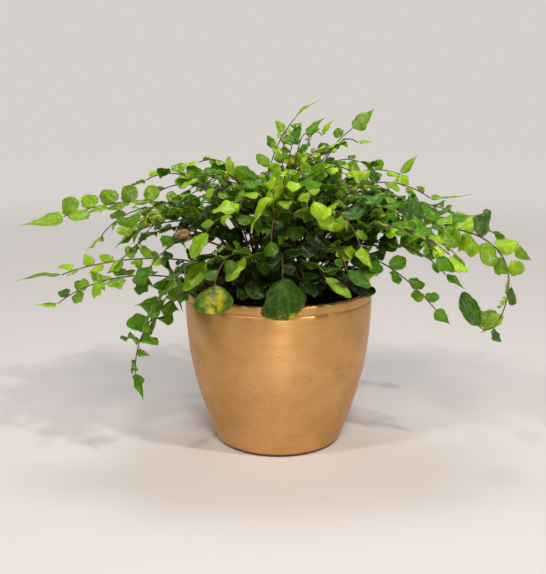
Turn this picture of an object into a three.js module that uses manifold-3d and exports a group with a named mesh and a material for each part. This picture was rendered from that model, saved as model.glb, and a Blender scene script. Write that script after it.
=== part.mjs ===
// Potted button fern: wiry arching fronds with round leaflets, standing in soil in a tapered round pot.
// Millimetres, Z up. The origin is the middle of the pot's flat underside. The front is towards -Y.

import * as THREE from 'three';
import { mergeVertices } from 'three/addons/utils/BufferGeometryUtils.js';
import Module from 'manifold-3d';

const wasm = await Module();
wasm.setup();

// Pot: driving dimensions
const RIM_RADIUS = 70;
const POT_HEIGHT = 117;
const FOOT_RADIUS = 45;
const FOOT_BEVEL = { radius: 47.8, height: 1.4 };
const FOOT_EDGE = { radius: 49, height: 4.5 };
const BELLY_LOW = { radius: 58.5, height: 31 };
const BELLY_HIGH = { radius: 69.2, height: 57 };
const NECK = { radius: 69.8, height: 109.3 };
const GROOVE = { radius: 69.1, height: 110 };
const LIP_START = 110.7;
const LIP_ROUNDING = 1.5;
const WALL = 4.2;
const FLOOR = 6;
const FLOOR_ROUNDING = 4;
const POT_SEGMENTS = 32;
const BELLY_STEPS = 4;

// Soil: driving dimensions
const SOIL_TOP = 107;
const SOIL_SEGMENTS = 20;
const CLEARANCE = 0.3;

// Stems: driving dimensions
const STEM_RADIUS = 0.8;
const STEM_SIDES = 3;
const STEM_STEP = 21;
const STEM_DEPTH = 6;
const HOLE_SIDES = 4;
const HOLE_RADIUS = (STEM_RADIUS + CLEARANCE) / Math.cos(Math.PI / HOLE_SIDES);
const HOLE_LENGTH = 2.5 * STEM_DEPTH;

// Leaflets: driving dimensions. A leaflet longer than LARGE_LEAF gets more sides.
const LEAF_THICKNESS = 1.1;
const LEAF_SIDES = 6;
const LARGE_LEAF_SIDES = 8;
const LARGE_LEAF = 16;
const LEAF_ROOT = 0.15;
const LEAF_GAP = 0.5;
const LAST_LEAF_SHARE = 0.985;

// Angle between leaflet and stem at the foot of the leafy part, and how much less it is at the tip: degrees
const FORWARD_ANGLE = 68;
const FORWARD_CLOSING = 14;

// How leaflet size changes along the leafy part, as shares of the full size and of the way
const SWELL = { least: 0.72, start: 0.15, fullness: 0.8, taper: 0.12 };

// How much leaflets differ from one another: shares of size and spacing, and degrees
const VARIED = { size: 0.22, place: 0.25, lift: 24, forward: 20, turn: 40, endForward: 8, endTurn: 20 };

// How much the fronds of a ring differ: shares of reach and spacing, and millimetres of height and drift
const RING_VARIED = { reach: 0.25, place: 0.5, height: 14, sway: 24 };

// Leaf shape: how broad the blade is along its length, as powers of one sine arch, and how it hangs
const ROUND_LEAF = { lean: 0.92, fullness: 0.55, sag: 0.16, cup: 0.1 };
const LANCE_LEAF = { lean: 0.72, fullness: 0.85, sag: 0.12, cup: 0.06 };

// Poses tried in turn for a leaflet until it is clear of all other fronds: degrees and a size factor
const LEAF_POSES = [
  { lift: 0, turn: 0, size: 1 },
  { lift: 20, turn: 15, size: 1 },
  { lift: -20, turn: -15, size: 1 },
  { lift: 0, turn: 40, size: 0.95 },
  { lift: 0, turn: -40, size: 0.95 },
  { lift: 40, turn: 0, size: 0.9 },
  { lift: -40, turn: 0, size: 0.9 },
  { lift: 20, turn: -30, size: 0.75 },
  { lift: -20, turn: 30, size: 0.75 },
  { lift: 60, turn: 30, size: 0.75 },
  { lift: -60, turn: -30, size: 0.75 },
];

// Fronds seen from the front, each with its own arch.
// heading: degrees, anticlockwise from +X. root: its place in the crown.
// rise, crest, end: the arch's guide points as [reach, height].
// lifts: how far the left and right leaflets stand up from level. bare: share of the stem with no leaflets.
// leaf: length and width. endLeaf: length, width, degrees it points up from the stem and degrees of roll.
const PLACED_FRONDS = [
  { name: 'left_long', heading: 184, root: [-24, -4], rise: [4, 200], crest: [90, 186], end: [131, 171],
    lifts: [0, 60], leaflets: 16, bare: 0.36, leaf: [13, 11.5], endLeaf: [35, 11, 12, 55], tone: 'light' },
  { name: 'left_mid', heading: 188, root: [-26, -10], rise: [0, 154], crest: [100, 144], end: [130, 131],
    lifts: [-5, 40], leaflets: 14, bare: 0.34, leaf: [13, 10], endLeaf: [30, 8, 22, 40], tone: 'light' },
  { name: 'left_low', heading: 196, root: [-23, -16], rise: [10, 124], crest: [90, 150], end: [134, 116],
    lifts: [-10, 35], leaflets: 12, bare: 0.36, leaf: [13, 9], endLeaf: [15, 6.5, 25, 40], tone: 'light' },
  { name: 'left_droop', heading: 200, root: [-18, -22], rise: [15, 142], crest: [88, 125], end: [88, 66],
    lifts: [60, -50], leaflets: 11, bare: 0.38, leaf: [16, 12], endLeaf: [21, 13, -10, 70], tone: 'dark' },
  { name: 'left_front', heading: 220, root: [-14, -24], rise: [8, 152], crest: [55, 164], end: [86, 122],
    lifts: [35, 0], leaflets: 10, bare: 0.34, leaf: [16, 13], endLeaf: [20, 14, 0, 50], tone: 'dark' },
  { name: 'left_upper', heading: 168, root: [-18, 6], rise: [4, 178], crest: [50, 214], end: [84, 194],
    lifts: [30, 30], leaflets: 10, bare: 0.42, leaf: [13, 10], endLeaf: [16, 9, 0, 30], tone: 'light' },
  { name: 'left_crown', heading: 150, root: [-10, 10], rise: [0, 184], crest: [26, 206], end: [54, 198],
    lifts: [30, 30], leaflets: 8, bare: 0.46, leaf: [14, 12], endLeaf: [16, 10, 0, 30], tone: 'light' },
  { name: 'left_inner', heading: 194, root: [-15, -8], rise: [4, 166], crest: [50, 178], end: [86, 163],
    lifts: [10, 50], leaflets: 10, bare: 0.36, leaf: [15, 12], endLeaf: [20, 11, 0, 40], tone: 'dark' },
  { name: 'top_high', heading: 50, root: [-10, 16], rise: [-10, 186], crest: [4, 218], end: [36, 240],
    lifts: [40, -10], leaflets: 10, bare: 0.48, leaf: [13, 8], endLeaf: [22, 7, 12, 60], tone: 'light' },
  { name: 'top_second', heading: 62, root: [2, 14], rise: [0, 180], crest: [6, 206], end: [20, 222],
    lifts: [40, 0], leaflets: 7, bare: 0.5, leaf: [12, 9], endLeaf: [20, 9, 0, 50], tone: 'dark' },
  { name: 'top_right', heading: 24, root: [10, 10], rise: [0, 172], crest: [18, 212], end: [50, 232],
    lifts: [40, 0], leaflets: 9, bare: 0.45, leaf: [13, 10], endLeaf: [23, 11, 5, 60], tone: 'light' },
  { name: 'right_upper', heading: 16, root: [16, 5], rise: [0, 182], crest: [36, 214], end: [80, 198],
    lifts: [45, 0], leaflets: 10, bare: 0.4, leaf: [16, 11], endLeaf: [22, 7, 60, 60], tone: 'light' },
  { name: 'right_high', heading: 5, root: [21, 0], rise: [2, 186], crest: [48, 212], end: [92, 182],
    lifts: [45, -5], leaflets: 11, bare: 0.4, leaf: [15, 12], endLeaf: [32, 7, 35, 40], tone: 'light' },
  { name: 'right_mid', heading: -4, root: [15, -5], rise: [4, 178], crest: [64, 192], end: [104, 164],
    lifts: [40, 0], leaflets: 10, bare: 0.38, leaf: [15, 12], endLeaf: [26, 14, 50, 60], tone: 'dark' },
  { name: 'right_arch', heading: -14, root: [26, -7], rise: [20, 178], crest: [162, 192], end: [136, 106],
    lifts: [55, -20], leaflets: 18, bare: 0.32, leaf: [19, 14], endLeaf: [22, 15, -20, 60], tone: 'light' },
  { name: 'right_far', heading: 8, root: [28, 3], rise: [10, 172], crest: [104, 186], end: [156, 142],
    lifts: [40, 10], leaflets: 13, bare: 0.36, leaf: [17, 13], endLeaf: [20, 13, 0, 40], tone: 'light' },
  { name: 'right_low', heading: -22, root: [23, -14], rise: [8, 166], crest: [72, 166], end: [98, 136],
    lifts: [40, 0], leaflets: 10, bare: 0.36, leaf: [14, 10], endLeaf: [16, 8, 10, 40], tone: 'dark' },
  { name: 'right_under', heading: -34, root: [18, -19], rise: [8, 164], crest: [58, 160], end: [102, 118],
    lifts: [35, 0], leaflets: 11, bare: 0.34, leaf: [15, 11], endLeaf: [14, 9, 0, 40], tone: 'dark' },
  { name: 'right_front', heading: -50, root: [10, -14], rise: [2, 172], crest: [42, 204], end: [68, 158],
    lifts: [20, 20], leaflets: 9, bare: 0.38, leaf: [17, 14], endLeaf: [17, 12, 0, 0], tone: 'light' },
  { name: 'front_left', heading: -122, root: [-8, -26], rise: [6, 150], crest: [50, 168], end: [64, 136],
    lifts: [15, 15], leaflets: 8, bare: 0.38, leaf: [16, 13], endLeaf: [25, 18, 15, 0], tone: 'light' },
  { name: 'front_mid', heading: -90, root: [2, -26], rise: [4, 150], crest: [44, 166], end: [54, 140],
    lifts: [15, 15], leaflets: 7, bare: 0.42, leaf: [16, 13], endLeaf: [30, 23, 0, -10], tone: 'dark' },
  { name: 'front_right', heading: -60, root: [13, -24], rise: [6, 150], crest: [50, 170], end: [62, 144],
    lifts: [15, 20], leaflets: 8, bare: 0.38, leaf: [16, 13], endLeaf: [22, 12, 0, 10], tone: 'dark' },
  { name: 'crown_left', heading: -134, root: [-7, -14], rise: [0, 166], crest: [32, 194], end: [60, 166],
    lifts: [20, 20], leaflets: 8, bare: 0.42, leaf: [17, 14], endLeaf: [20, 14, 0, 0], tone: 'light' },
  { name: 'crown_front', heading: -96, root: [0, -17], rise: [0, 164], crest: [34, 192], end: [50, 162],
    lifts: [20, 20], leaflets: 8, bare: 0.42, leaf: [17, 14], endLeaf: [20, 14, 0, 0], tone: 'dark' },
  { name: 'crown_high', heading: -108, root: [-3, -7], rise: [0, 180], crest: [16, 208], end: [40, 192],
    lifts: [20, 20], leaflets: 8, bare: 0.48, leaf: [17, 13], endLeaf: [26, 13, 0, 0], tone: 'light' },
  { name: 'crown_right', heading: -68, root: [6, -7], rise: [0, 178], crest: [20, 208], end: [46, 186],
    lifts: [20, 20], leaflets: 8, bare: 0.48, leaf: [17, 13], endLeaf: [22, 13, 0, 0], tone: 'light' },
];

// Rings of fronds placed by rule round the back, in the middle and low over the soil.
// from, to: headings in degrees. seed: chosen so that the stems of all fronds stay clear of each other.
const FROND_RINGS = [
  { name: 'back_long', seed: 10, count: 7, from: 28, to: 154, rootRadius: 27,
    rise: [8, 168], crest: [78, 192], end: [122, 140], lifts: [20, 20],
    leaflets: 8, bare: 0.36, leaf: [16, 13], endLeaf: [24, 11, 0, 0], tones: ['light', 'dark'] },
  { name: 'back_mid', seed: 15, count: 6, from: 38, to: 146, rootRadius: 20,
    rise: [2, 178], crest: [44, 204], end: [82, 174], lifts: [25, 25],
    leaflets: 7, bare: 0.42, leaf: [15, 12], endLeaf: [20, 11, 0, 0], tones: ['dark', 'light'] },
  { name: 'middle', seed: 1, count: 4, from: 95, to: 380, rootRadius: 4,
    rise: [0, 172], crest: [8, 192], end: [28, 190], lifts: [25, 25],
    leaflets: 6, bare: 0.5, leaf: [15, 12], endLeaf: [18, 11, 0, 0], tones: ['light', 'dark'] },
  { name: 'low', seed: 24, count: 9, from: -160, to: 160, rootRadius: 32,
    rise: [0, 138], crest: [16, 148], end: [27, 137], lifts: [15, 15],
    leaflets: 5, bare: 0.45, leaf: [17, 14], endLeaf: [20, 14, 0, 0], tones: ['dark', 'dark'] },
];

// Finishes: yellow-green and deep green leaves, satin gold glaze, dark potting soil
const FINISHES = {
  light: { color: '#6f9a35', roughness: 0.55, metalness: 0 },
  dark: { color: '#2f5a22', roughness: 0.55, metalness: 0 },
  pot: { color: '#c08f4c', roughness: 0.42, metalness: 0.6 },
  soil: { color: '#3a2a1d', roughness: 0.95, metalness: 0 },
};

const radians = THREE.MathUtils.degToRad;

/** A repeatable stream of numbers from 0 to 1. */
function seededDraw(seed) {
  let state = 1009 + seed * 7919;
  const draw = () => {
    state = (state * 16807) % 2147483647;
    return state / 2147483647;
  };
  draw();
  draw();
  return draw;
}

/** A closed geometry as a manifold solid. */
function solidOf(geometry) {
  const bare = geometry.clone();
  bare.deleteAttribute('normal');
  bare.deleteAttribute('uv');
  const merged = mergeVertices(bare, 1e-5);
  return new wasm.Manifold(new wasm.Mesh({
    numProp: 3,
    vertProperties: new Float32Array(merged.attributes.position.array),
    triVerts: new Uint32Array(merged.index.array),
  }));
}

/** A manifold solid back as a geometry. */
function geometryOf(solid) {
  const mesh = solid.getMesh();
  const geometry = new THREE.BufferGeometry();
  geometry.setAttribute('position', new THREE.BufferAttribute(mesh.vertProperties, 3));
  geometry.setIndex(new THREE.BufferAttribute(mesh.triVerts, 1));
  geometry.computeVertexNormals();
  return geometry;
}

/** A profile of radius and height turned round the upright axis. */
function turned(profile, segments) {
  return new THREE.LatheGeometry(profile, segments).rotateX(Math.PI / 2);
}

/** A point of a turned profile. */
function turn(radius, height) {
  return new THREE.Vector2(radius, height);
}

/** The bellied wall's line from the foot's edge to the neck, moved inwards by an inset. */
function bellyPoints(inset) {
  const belly = new THREE.CubicBezierCurve(
    turn(FOOT_EDGE.radius - inset, FOOT_EDGE.height),
    turn(BELLY_LOW.radius - inset, BELLY_LOW.height),
    turn(BELLY_HIGH.radius - inset, BELLY_HIGH.height),
    turn(NECK.radius - inset, NECK.height),
  );
  return belly.getPoints(BELLY_STEPS);
}

/** Turned pot with a flat foot, a bellied wall, a groove and a rounded lip, open at the top. */
function potGeometry() {
  const outside = [
    turn(0, 0),
    turn(FOOT_RADIUS, 0),
    turn(FOOT_BEVEL.radius, FOOT_BEVEL.height),
    ...bellyPoints(0),
    turn(GROOVE.radius, GROOVE.height),
    turn(RIM_RADIUS, LIP_START),
    turn(RIM_RADIUS, POT_HEIGHT - LIP_ROUNDING),
    turn(RIM_RADIUS - LIP_ROUNDING, POT_HEIGHT),
    turn(RIM_RADIUS - WALL + LIP_ROUNDING / 2, POT_HEIGHT),
    turn(RIM_RADIUS - WALL, POT_HEIGHT - LIP_ROUNDING / 2),
  ];
  const inside = bellyPoints(WALL).reverse().filter((point) => point.y > FLOOR + FLOOR_ROUNDING);
  const floor = [turn(FOOT_EDGE.radius - WALL, FLOOR), turn(0, FLOOR)];
  return turned([...outside, ...inside, ...floor], POT_SEGMENTS);
}

/** Soil that fills the pot to just below the lip, a little clear of the wall all round. */
function soilGeometry() {
  const inset = WALL + 3 * CLEARANCE;
  const middle = bellyPoints(inset)[BELLY_STEPS / 2];
  const profile = [
    turn(0, FLOOR + CLEARANCE),
    turn(FOOT_EDGE.radius - inset, FLOOR + CLEARANCE),
    middle,
    turn(NECK.radius - inset, SOIL_TOP),
    turn(0, SOIL_TOP),
  ];
  return turned(profile, SOIL_SEGMENTS);
}

/** The arch of a frond's stem, from its root in the soil to its last leaflet. */
function stemCurve(frond) {
  const heading = radians(frond.heading);
  const outward = new THREE.Vector3(Math.cos(heading), Math.sin(heading), 0);
  const sideways = new THREE.Vector3(-Math.sin(heading), Math.cos(heading), 0);
  const [x, y] = frond.root;
  const sway = frond.sway ?? 0;
  const guide = (reach, height, drift) => new THREE.Vector3(x, y, height)
    .addScaledVector(outward, reach)
    .addScaledVector(sideways, drift);
  return new THREE.CubicBezierCurve3(
    guide(0, SOIL_TOP - STEM_DEPTH, 0),
    guide(...frond.rise, 0),
    guide(...frond.crest, sway / 2),
    guide(...frond.end, sway),
  );
}

/** A thin stem as a few-sided tube along its arch, with the points that the tube's sections stand on. */
function makeStem(frond) {
  const curve = stemCurve(frond);
  const steps = Math.round(curve.getLength() / STEM_STEP);
  const corners = Array.from({ length: STEM_SIDES }, (unused, side) => {
    const angle = (2 * Math.PI * side) / STEM_SIDES;
    return turn(STEM_RADIUS * Math.cos(angle), STEM_RADIUS * Math.sin(angle));
  });
  const tube = new THREE.ExtrudeGeometry(new THREE.Shape(corners), { steps, extrudePath: curve });
  return { solid: solidOf(tube), points: curve.getSpacedPoints(steps) };
}

/** A straight hole in the soil round a stem's foot, a little wider and deeper than the stem. */
function stemHole(points) {
  const hole = new THREE.CylinderGeometry(HOLE_RADIUS, HOLE_RADIUS, HOLE_LENGTH, HOLE_SIDES);
  hole.rotateX(Math.PI / 2);
  hole.translate(0, 0, HOLE_LENGTH / 2 - 2 * CLEARANCE);
  const direction = points[1].clone().sub(points[0]).normalize();
  hole.applyQuaternion(new THREE.Quaternion().setFromUnitVectors(new THREE.Vector3(0, 0, 1), direction));
  hole.translate(...points[0].toArray());
  return solidOf(hole);
}

/** The place and direction at a share of the way along a line of points. */
function along(points, share) {
  const place = Math.min(share, 0.9999) * (points.length - 1);
  const index = Math.floor(place);
  const point = points[index].clone().lerp(points[index + 1], place - index);
  const tangent = points[index + 1].clone().sub(points[index]).normalize();
  return { point, tangent };
}

/** A small arched blade: a flattened few-sided sphere drawn out to a leaf's outline. */
function bladeGeometry(length, width, thickness, sides, form, margin) {
  const geometry = new THREE.SphereGeometry(1, sides, 2);
  const position = geometry.attributes.position;
  for (let index = 0; index < position.count; index += 1) {
    const share = (1 + position.getX(index)) / 2;
    const edge = Math.sin(Math.PI * Math.max(share, 0) ** form.lean) ** form.fullness || 0;
    const across = Math.abs(position.getZ(index)) < 1e-6 ? 0 : -Math.sign(position.getZ(index)) * edge;
    const droop = form.sag * length * share * share + form.cup * width * across * across;
    position.setXYZ(
      index,
      share * (length + LEAF_ROOT + margin) - LEAF_ROOT,
      across * (width / 2 + margin),
      position.getY(index) * (thickness / 2) - droop,
    );
  }
  return geometry;
}

/** The turned frame of one leaflet: X along the blade, Z out of its upper face. */
function leafFrame(point, tangent, sideways, leaf, pose) {
  const upward = tangent.clone().cross(sideways).normalize();
  const lift = radians(leaf.lift + pose.lift);
  const outward = sideways.clone().multiplyScalar(leaf.side * Math.cos(lift));
  outward.addScaledVector(upward, Math.sin(lift));
  const forward = radians(leaf.forward);
  const direction = tangent.clone().multiplyScalar(Math.cos(forward));
  direction.addScaledVector(outward, Math.sin(forward));
  const face = tangent.clone().cross(outward).multiplyScalar(leaf.side).normalize();
  face.applyAxisAngle(direction, radians(leaf.turn + pose.turn));
  const across = face.clone().cross(direction);
  return new THREE.Matrix4().makeBasis(direction, across, face).setPosition(point);
}

/** How large leaflets are at a share of the leafy part: smaller at its foot and tip than in the middle. */
function swellAt(run) {
  const arch = Math.sin(Math.PI * Math.min(run + SWELL.start, 1)) ** SWELL.fullness;
  return SWELL.least + (1 - SWELL.least) * arch - SWELL.taper * run;
}

/** Every leaflet of a frond in order: where it stands, which way it points and how large it is. */
function leafletsOf(frond, draw) {
  const leaflets = [];
  for (let index = 0; index < frond.leaflets; index += 1) {
    const run = index / frond.leaflets;
    const growth = swellAt(run) * (0.9 + VARIED.size * draw());
    const length = frond.leaf[0] * growth;
    const place = run + VARIED.place * (draw() - 0.5) / frond.leaflets;
    leaflets.push({
      share: frond.bare + (LAST_LEAF_SHARE - frond.bare) * place,
      side: index % 2 === 0 ? 1 : -1,
      lift: frond.lifts[index % 2] + VARIED.lift * (draw() - 0.5),
      forward: FORWARD_ANGLE + VARIED.forward * (draw() - 0.5) - FORWARD_CLOSING * run,
      turn: VARIED.turn * (draw() - 0.5),
      length,
      width: frond.leaf[1] * growth,
      sides: length > LARGE_LEAF ? LARGE_LEAF_SIDES : LEAF_SIDES,
      form: ROUND_LEAF,
    });
  }
  const [length, width, rise, roll] = frond.endLeaf;
  leaflets.push({
    share: 1,
    side: 1,
    lift: 90,
    forward: rise + VARIED.endForward * (draw() - 0.5),
    turn: roll - 90 + VARIED.endTurn * (draw() - 0.5),
    length,
    width,
    sides: LARGE_LEAF_SIDES,
    form: LANCE_LEAF,
  });
  return leaflets;
}

/** All fronds with their names and numbers, the placed ones first and then the rings. */
function listFronds() {
  const fronds = [...PLACED_FRONDS];
  for (const ring of FROND_RINGS) {
    const draw = seededDraw(ring.seed);
    const spacing = (ring.to - ring.from) / (ring.count - 1);
    for (let index = 0; index < ring.count; index += 1) {
      const heading = ring.from + spacing * (index + RING_VARIED.place * (draw() - 0.5));
      const stretch = 0.9 + RING_VARIED.reach * draw();
      const raise = RING_VARIED.height * (draw() - 0.5);
      const around = radians(heading);
      fronds.push({
        name: `${ring.name}_${index + 1}`,
        heading,
        root: [ring.rootRadius * Math.cos(around), ring.rootRadius * Math.sin(around)],
        rise: ring.rise,
        crest: [ring.crest[0] * stretch, ring.crest[1] + raise],
        end: [ring.end[0] * stretch, ring.end[1] + 2 * raise],
        sway: RING_VARIED.sway * (draw() - 0.5),
        lifts: ring.lifts,
        leaflets: ring.leaflets,
        bare: ring.bare,
        leaf: ring.leaf,
        endLeaf: ring.endLeaf,
        tone: ring.tones[index % 2],
      });
    }
  }
  return fronds;
}

/** Whether two boxes overlap. */
function boxesMeet(first, second) {
  const reaches = (low, high) => [0, 1, 2].every((axis) => low.min[axis] <= high.max[axis]);
  return reaches(first, second) && reaches(second, first);
}

/** Whether a solid is clear of all obstacles that belong to other pieces. */
function isClear(solid, owner, obstacles) {
  const box = solid.boundingBox();
  return obstacles.every((obstacle) => obstacle.owner === owner
    || !boxesMeet(box, obstacle.box)
    || solid.intersect(obstacle.solid).isEmpty());
}

/** One leaflet's solid in the first pose that keeps clear of the obstacles, or null if none does. */
function makeLeaflet(leaf, stem, sideways, owner, obstacles) {
  const { point, tangent } = along(stem.points, leaf.share);
  const level = sideways.clone().addScaledVector(tangent, -sideways.dot(tangent)).normalize();
  for (const pose of LEAF_POSES) {
    const frame = leafFrame(point, tangent, level, leaf, pose);
    const blade = (thickness, margin) => solidOf(
      bladeGeometry(leaf.length * pose.size, leaf.width * pose.size, thickness, leaf.sides, leaf.form, margin)
        .applyMatrix4(frame),
    );
    const reserve = blade(LEAF_THICKNESS + 2 * LEAF_GAP, 2 * LEAF_GAP);
    if (isClear(reserve, owner, obstacles)) {
      return blade(LEAF_THICKNESS, 0);
    }
  }
  return null;
}

/** A frond's leaflets joined to its stem; each new leaflet becomes an obstacle for later fronds. */
function makeFrond(frond, stem, owner, obstacles) {
  const draw = seededDraw(owner);
  const heading = radians(frond.heading);
  const sideways = new THREE.Vector3(-Math.sin(heading), Math.cos(heading), 0);
  const pieces = [stem.solid];
  for (const leaf of leafletsOf(frond, draw)) {
    const blade = makeLeaflet(leaf, stem, sideways, owner, obstacles);
    if (blade) {
      pieces.push(blade);
      obstacles.push({ solid: blade, box: blade.boundingBox(), owner });
    }
  }
  return wasm.Manifold.union(pieces);
}

const fern = new THREE.Group();

/** Adds one named mesh to the fern. */
function addMesh(name, solid, finish) {
  const mesh = new THREE.Mesh(geometryOf(solid), new THREE.MeshStandardMaterial(finish));
  mesh.name = name;
  fern.add(mesh);
}

const fronds = listFronds();
const stems = fronds.map(makeStem);
const pot = solidOf(potGeometry());
const filling = solidOf(soilGeometry());

// Owner 0 is the pot and the soil, and each frond owns its place in the list, counted from 1.
const obstacles = [pot, filling].map((solid) => ({ solid, box: solid.boundingBox(), owner: 0 }));
stems.forEach(({ solid }, index) => obstacles.push({ solid, box: solid.boundingBox(), owner: index + 1 }));

fronds.forEach((frond, index) => {
  const solid = makeFrond(frond, stems[index], index + 1, obstacles);
  addMesh(`frond_${frond.name}`, solid, FINISHES[frond.tone]);
});
addMesh('pot', pot, FINISHES.pot);
const soil = stems.reduce((rest, stem) => rest.subtract(stemHole(stem.points)), filling);
addMesh('soil', soil, FINISHES.soil);

export default fern;
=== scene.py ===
"""Looks of a potted button fern: fine leaves and stems, a gold-glazed pot and potting soil."""

import logging
import math
from dataclasses import dataclass, field, replace
from enum import Enum
from itertools import combinations

import bpy
import numpy as np
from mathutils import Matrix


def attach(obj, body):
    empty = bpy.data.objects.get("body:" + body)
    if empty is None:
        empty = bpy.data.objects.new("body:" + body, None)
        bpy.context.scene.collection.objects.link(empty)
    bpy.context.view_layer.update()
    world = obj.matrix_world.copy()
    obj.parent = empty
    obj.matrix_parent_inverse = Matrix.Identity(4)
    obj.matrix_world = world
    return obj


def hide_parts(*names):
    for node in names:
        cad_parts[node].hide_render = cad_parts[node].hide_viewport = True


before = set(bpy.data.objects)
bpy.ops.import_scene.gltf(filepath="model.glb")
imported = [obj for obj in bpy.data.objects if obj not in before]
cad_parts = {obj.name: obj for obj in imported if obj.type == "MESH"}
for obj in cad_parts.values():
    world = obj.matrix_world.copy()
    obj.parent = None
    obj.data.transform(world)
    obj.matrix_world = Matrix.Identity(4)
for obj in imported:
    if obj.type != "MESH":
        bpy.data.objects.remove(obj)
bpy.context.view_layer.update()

Pair = tuple[float, float]
Triple = tuple[float, float, float]
NodeTree, Node, Socket = bpy.types.NodeTree, bpy.types.Node, bpy.types.NodeSocket

LOG = logging.getLogger("potted_fern")
MM = 0.001

# The values that each vertex carries for the finishes to read.
PLACE, TONE = "leaf_place", "leaf_tone"


class Tone(Enum):
    """The two leaf colours, with the record's material slot for each."""

    LIGHT = "frond_light"
    DARK = "frond_dark"


class LeafForm(Enum):
    """Leaf outlines: round side leaflets, pointed end leaflets, drawn-out ones and broad blunt old ones."""

    ROUND = "round"
    LANCE = "lance"
    DROP = "drop"
    BROAD = "broad"


@dataclass(frozen=True)
class Outline:
    """How broad a blade is along its length, as powers of one sine arch, and how it hangs.

    The source's blades have the same lean, fullness, sag and cup. The fine values draw the outline between
    the corners that the source's blades have, and fine_taper draws the end out to a point.
    """

    lean: float
    fullness: float
    sag: float
    cup: float
    fine_lean: float
    fine_fullness: float
    fine_taper: float = 0.0
    teeth: float = 0.0

    def arch(self, shares: np.ndarray) -> np.ndarray:
        """Gives the fine outline's half width at shares of the blade's length, before it is scaled."""
        swell = np.maximum(np.sin(np.pi * shares**self.fine_lean), 0) ** self.fine_fullness
        return swell * (1 - shares) ** self.fine_taper

    def edge(self, shares: np.ndarray) -> np.ndarray:
        """Gives the half width at shares of the blade's length, as a share of the largest."""
        return self.arch(shares) / self.arch(np.linspace(0, 1, 101)).max()


OUTLINES = {
    LeafForm.ROUND: Outline(0.92, 0.55, 0.16, 0.10, 0.90, 0.52),
    LeafForm.LANCE: Outline(0.72, 0.85, 0.12, 0.06, 0.66, 0.90, 0.45),
    LeafForm.DROP: Outline(0.72, 0.85, 0.12, 0.06, 0.60, 1.0, 0.9),
    LeafForm.BROAD: Outline(0.72, 0.85, 0.12, 0.06, 1.18, 0.52, 0.0, 0.07),
}

# The part's stem and leaflet rules, in millimetres and degrees.
SOIL_TOP = 107.0
STEM_DEPTH = 6.0
STEM_STEP = 21.0
CURVE_DIVISIONS = 200
CURVE_END = 0.9999
LEAF_THICKNESS = 1.1
LEAF_ROOT = 0.15
LARGE_LEAF = 16.0
LARGE_LEAF_SIDES, SMALL_LEAF_SIDES = 8, 6
LAST_LEAF_SHARE = 0.985
FORWARD_ANGLE = 68.0
FORWARD_CLOSING = 14.0
SWELL_LEAST = 0.72
SWELL_START = 0.15
SWELL_FULLNESS = 0.8
SWELL_TAPER = 0.12
LEAST_SIZE = 0.9
VARIED_SIZE = 0.22
VARIED_PLACE = 0.25
VARIED_LIFT = 24.0
VARIED_FORWARD = 20.0
VARIED_TURN = 40.0
VARIED_END_FORWARD = 8.0
VARIED_END_TURN = 20.0
MATCH_TOLERANCE = 0.03

# How a stem runs on into its tail: the length of the first guide, in millimetres, and the number of steps.
TAIL_LEAD = 8.0
TAIL_STEPS = 8

# Where the painted shade inside the bunch ends, under the crown and within the reach, and how far it fades
# there.
CROWN_LEVEL, CROWN_FADING = 178.0, 20.0
BUNCH_REACH, BUNCH_FADING = 92.0, 22.0

# The frond of a single leaf: its root as a share of the leaf's distance from the middle, its rise and crest
# as shares of the leaf's height and reach with millimetres added to the height, its lift and its bare share.
SINGLE_ROOT = 0.3
SINGLE_RISE, SINGLE_RISE_ADDED = 0.8, 25.0
SINGLE_CREST, SINGLE_CREST_ADDED = 0.6, 14.0
SINGLE_LIFT, SINGLE_BARE = 25.0, 0.5

# Poses that a leaflet may stand in, as lift and turn in degrees and a size factor.
LEAF_POSES = [
    (0, 0, 1), (20, 15, 1), (-20, -15, 1), (0, 40, 0.95), (0, -40, 0.95), (40, 0, 0.9), (-40, 0, 0.9),
    (20, -30, 0.75), (-20, 30, 0.75), (60, 30, 0.75), (-60, -30, 0.75),
]


def linear(colour: str) -> tuple[float, float, float, float]:
    """Turns an sRGB hex colour into linear RGBA.

    Args:
        colour: Six hex digits after a hash sign.

    Returns:
        Linear red, green, blue and an alpha of 1.
    """
    shares = [int(colour[place : place + 2], 16) / 255 for place in (1, 3, 5)]
    return tuple(c / 12.92 if c <= 0.04045 else ((c + 0.055) / 1.055) ** 2.4 for c in shares) + (1.0,)


def unit(vector: np.ndarray) -> np.ndarray:
    """Scales a vector to length 1."""
    return vector / np.linalg.norm(vector)


def turned_about(vector: np.ndarray, axis: np.ndarray, degrees: float) -> np.ndarray:
    """Turns a vector about an axis.

    Args:
        vector: The vector.
        axis: A direction of length 1.
        degrees: The angle.

    Returns:
        The turned vector.
    """
    angle = math.radians(degrees)
    along = axis * (axis @ vector) * (1 - math.cos(angle))
    return vector * math.cos(angle) + np.cross(axis, vector) * math.sin(angle) + along


def all_round(count: int) -> np.ndarray:
    """Gives so many angles evenly round a circle, from 0."""
    return 2 * np.pi * np.arange(count) / count


def facing(direction: np.ndarray, face: np.ndarray) -> tuple[np.ndarray, np.ndarray, np.ndarray]:
    """Gives the unit directions along a leaf, across it and out of its upper face.

    Args:
        direction: The way that the leaf points.
        face: The way that its upper face looks, which is turned square to the first.

    Returns:
        The three directions.
    """
    along = unit(np.array(direction, float))
    upper = np.array(face, float)
    upper = unit(upper - along * (upper @ along))
    return along, np.cross(upper, along), upper


def cubic(guides: list[np.ndarray], shares: np.ndarray) -> np.ndarray:
    """Gives points of a cubic curve, one row for each share of its parameter.

    Args:
        guides: Its four guide points.
        shares: Numbers from 0 to 1.

    Returns:
        The points.
    """
    a, b, c, d = guides
    t = np.asarray(shares, float)[:, None]
    return a * (1 - t) ** 3 + 3 * b * t * (1 - t) ** 2 + 3 * c * t**2 * (1 - t) + d * t**3


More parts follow.
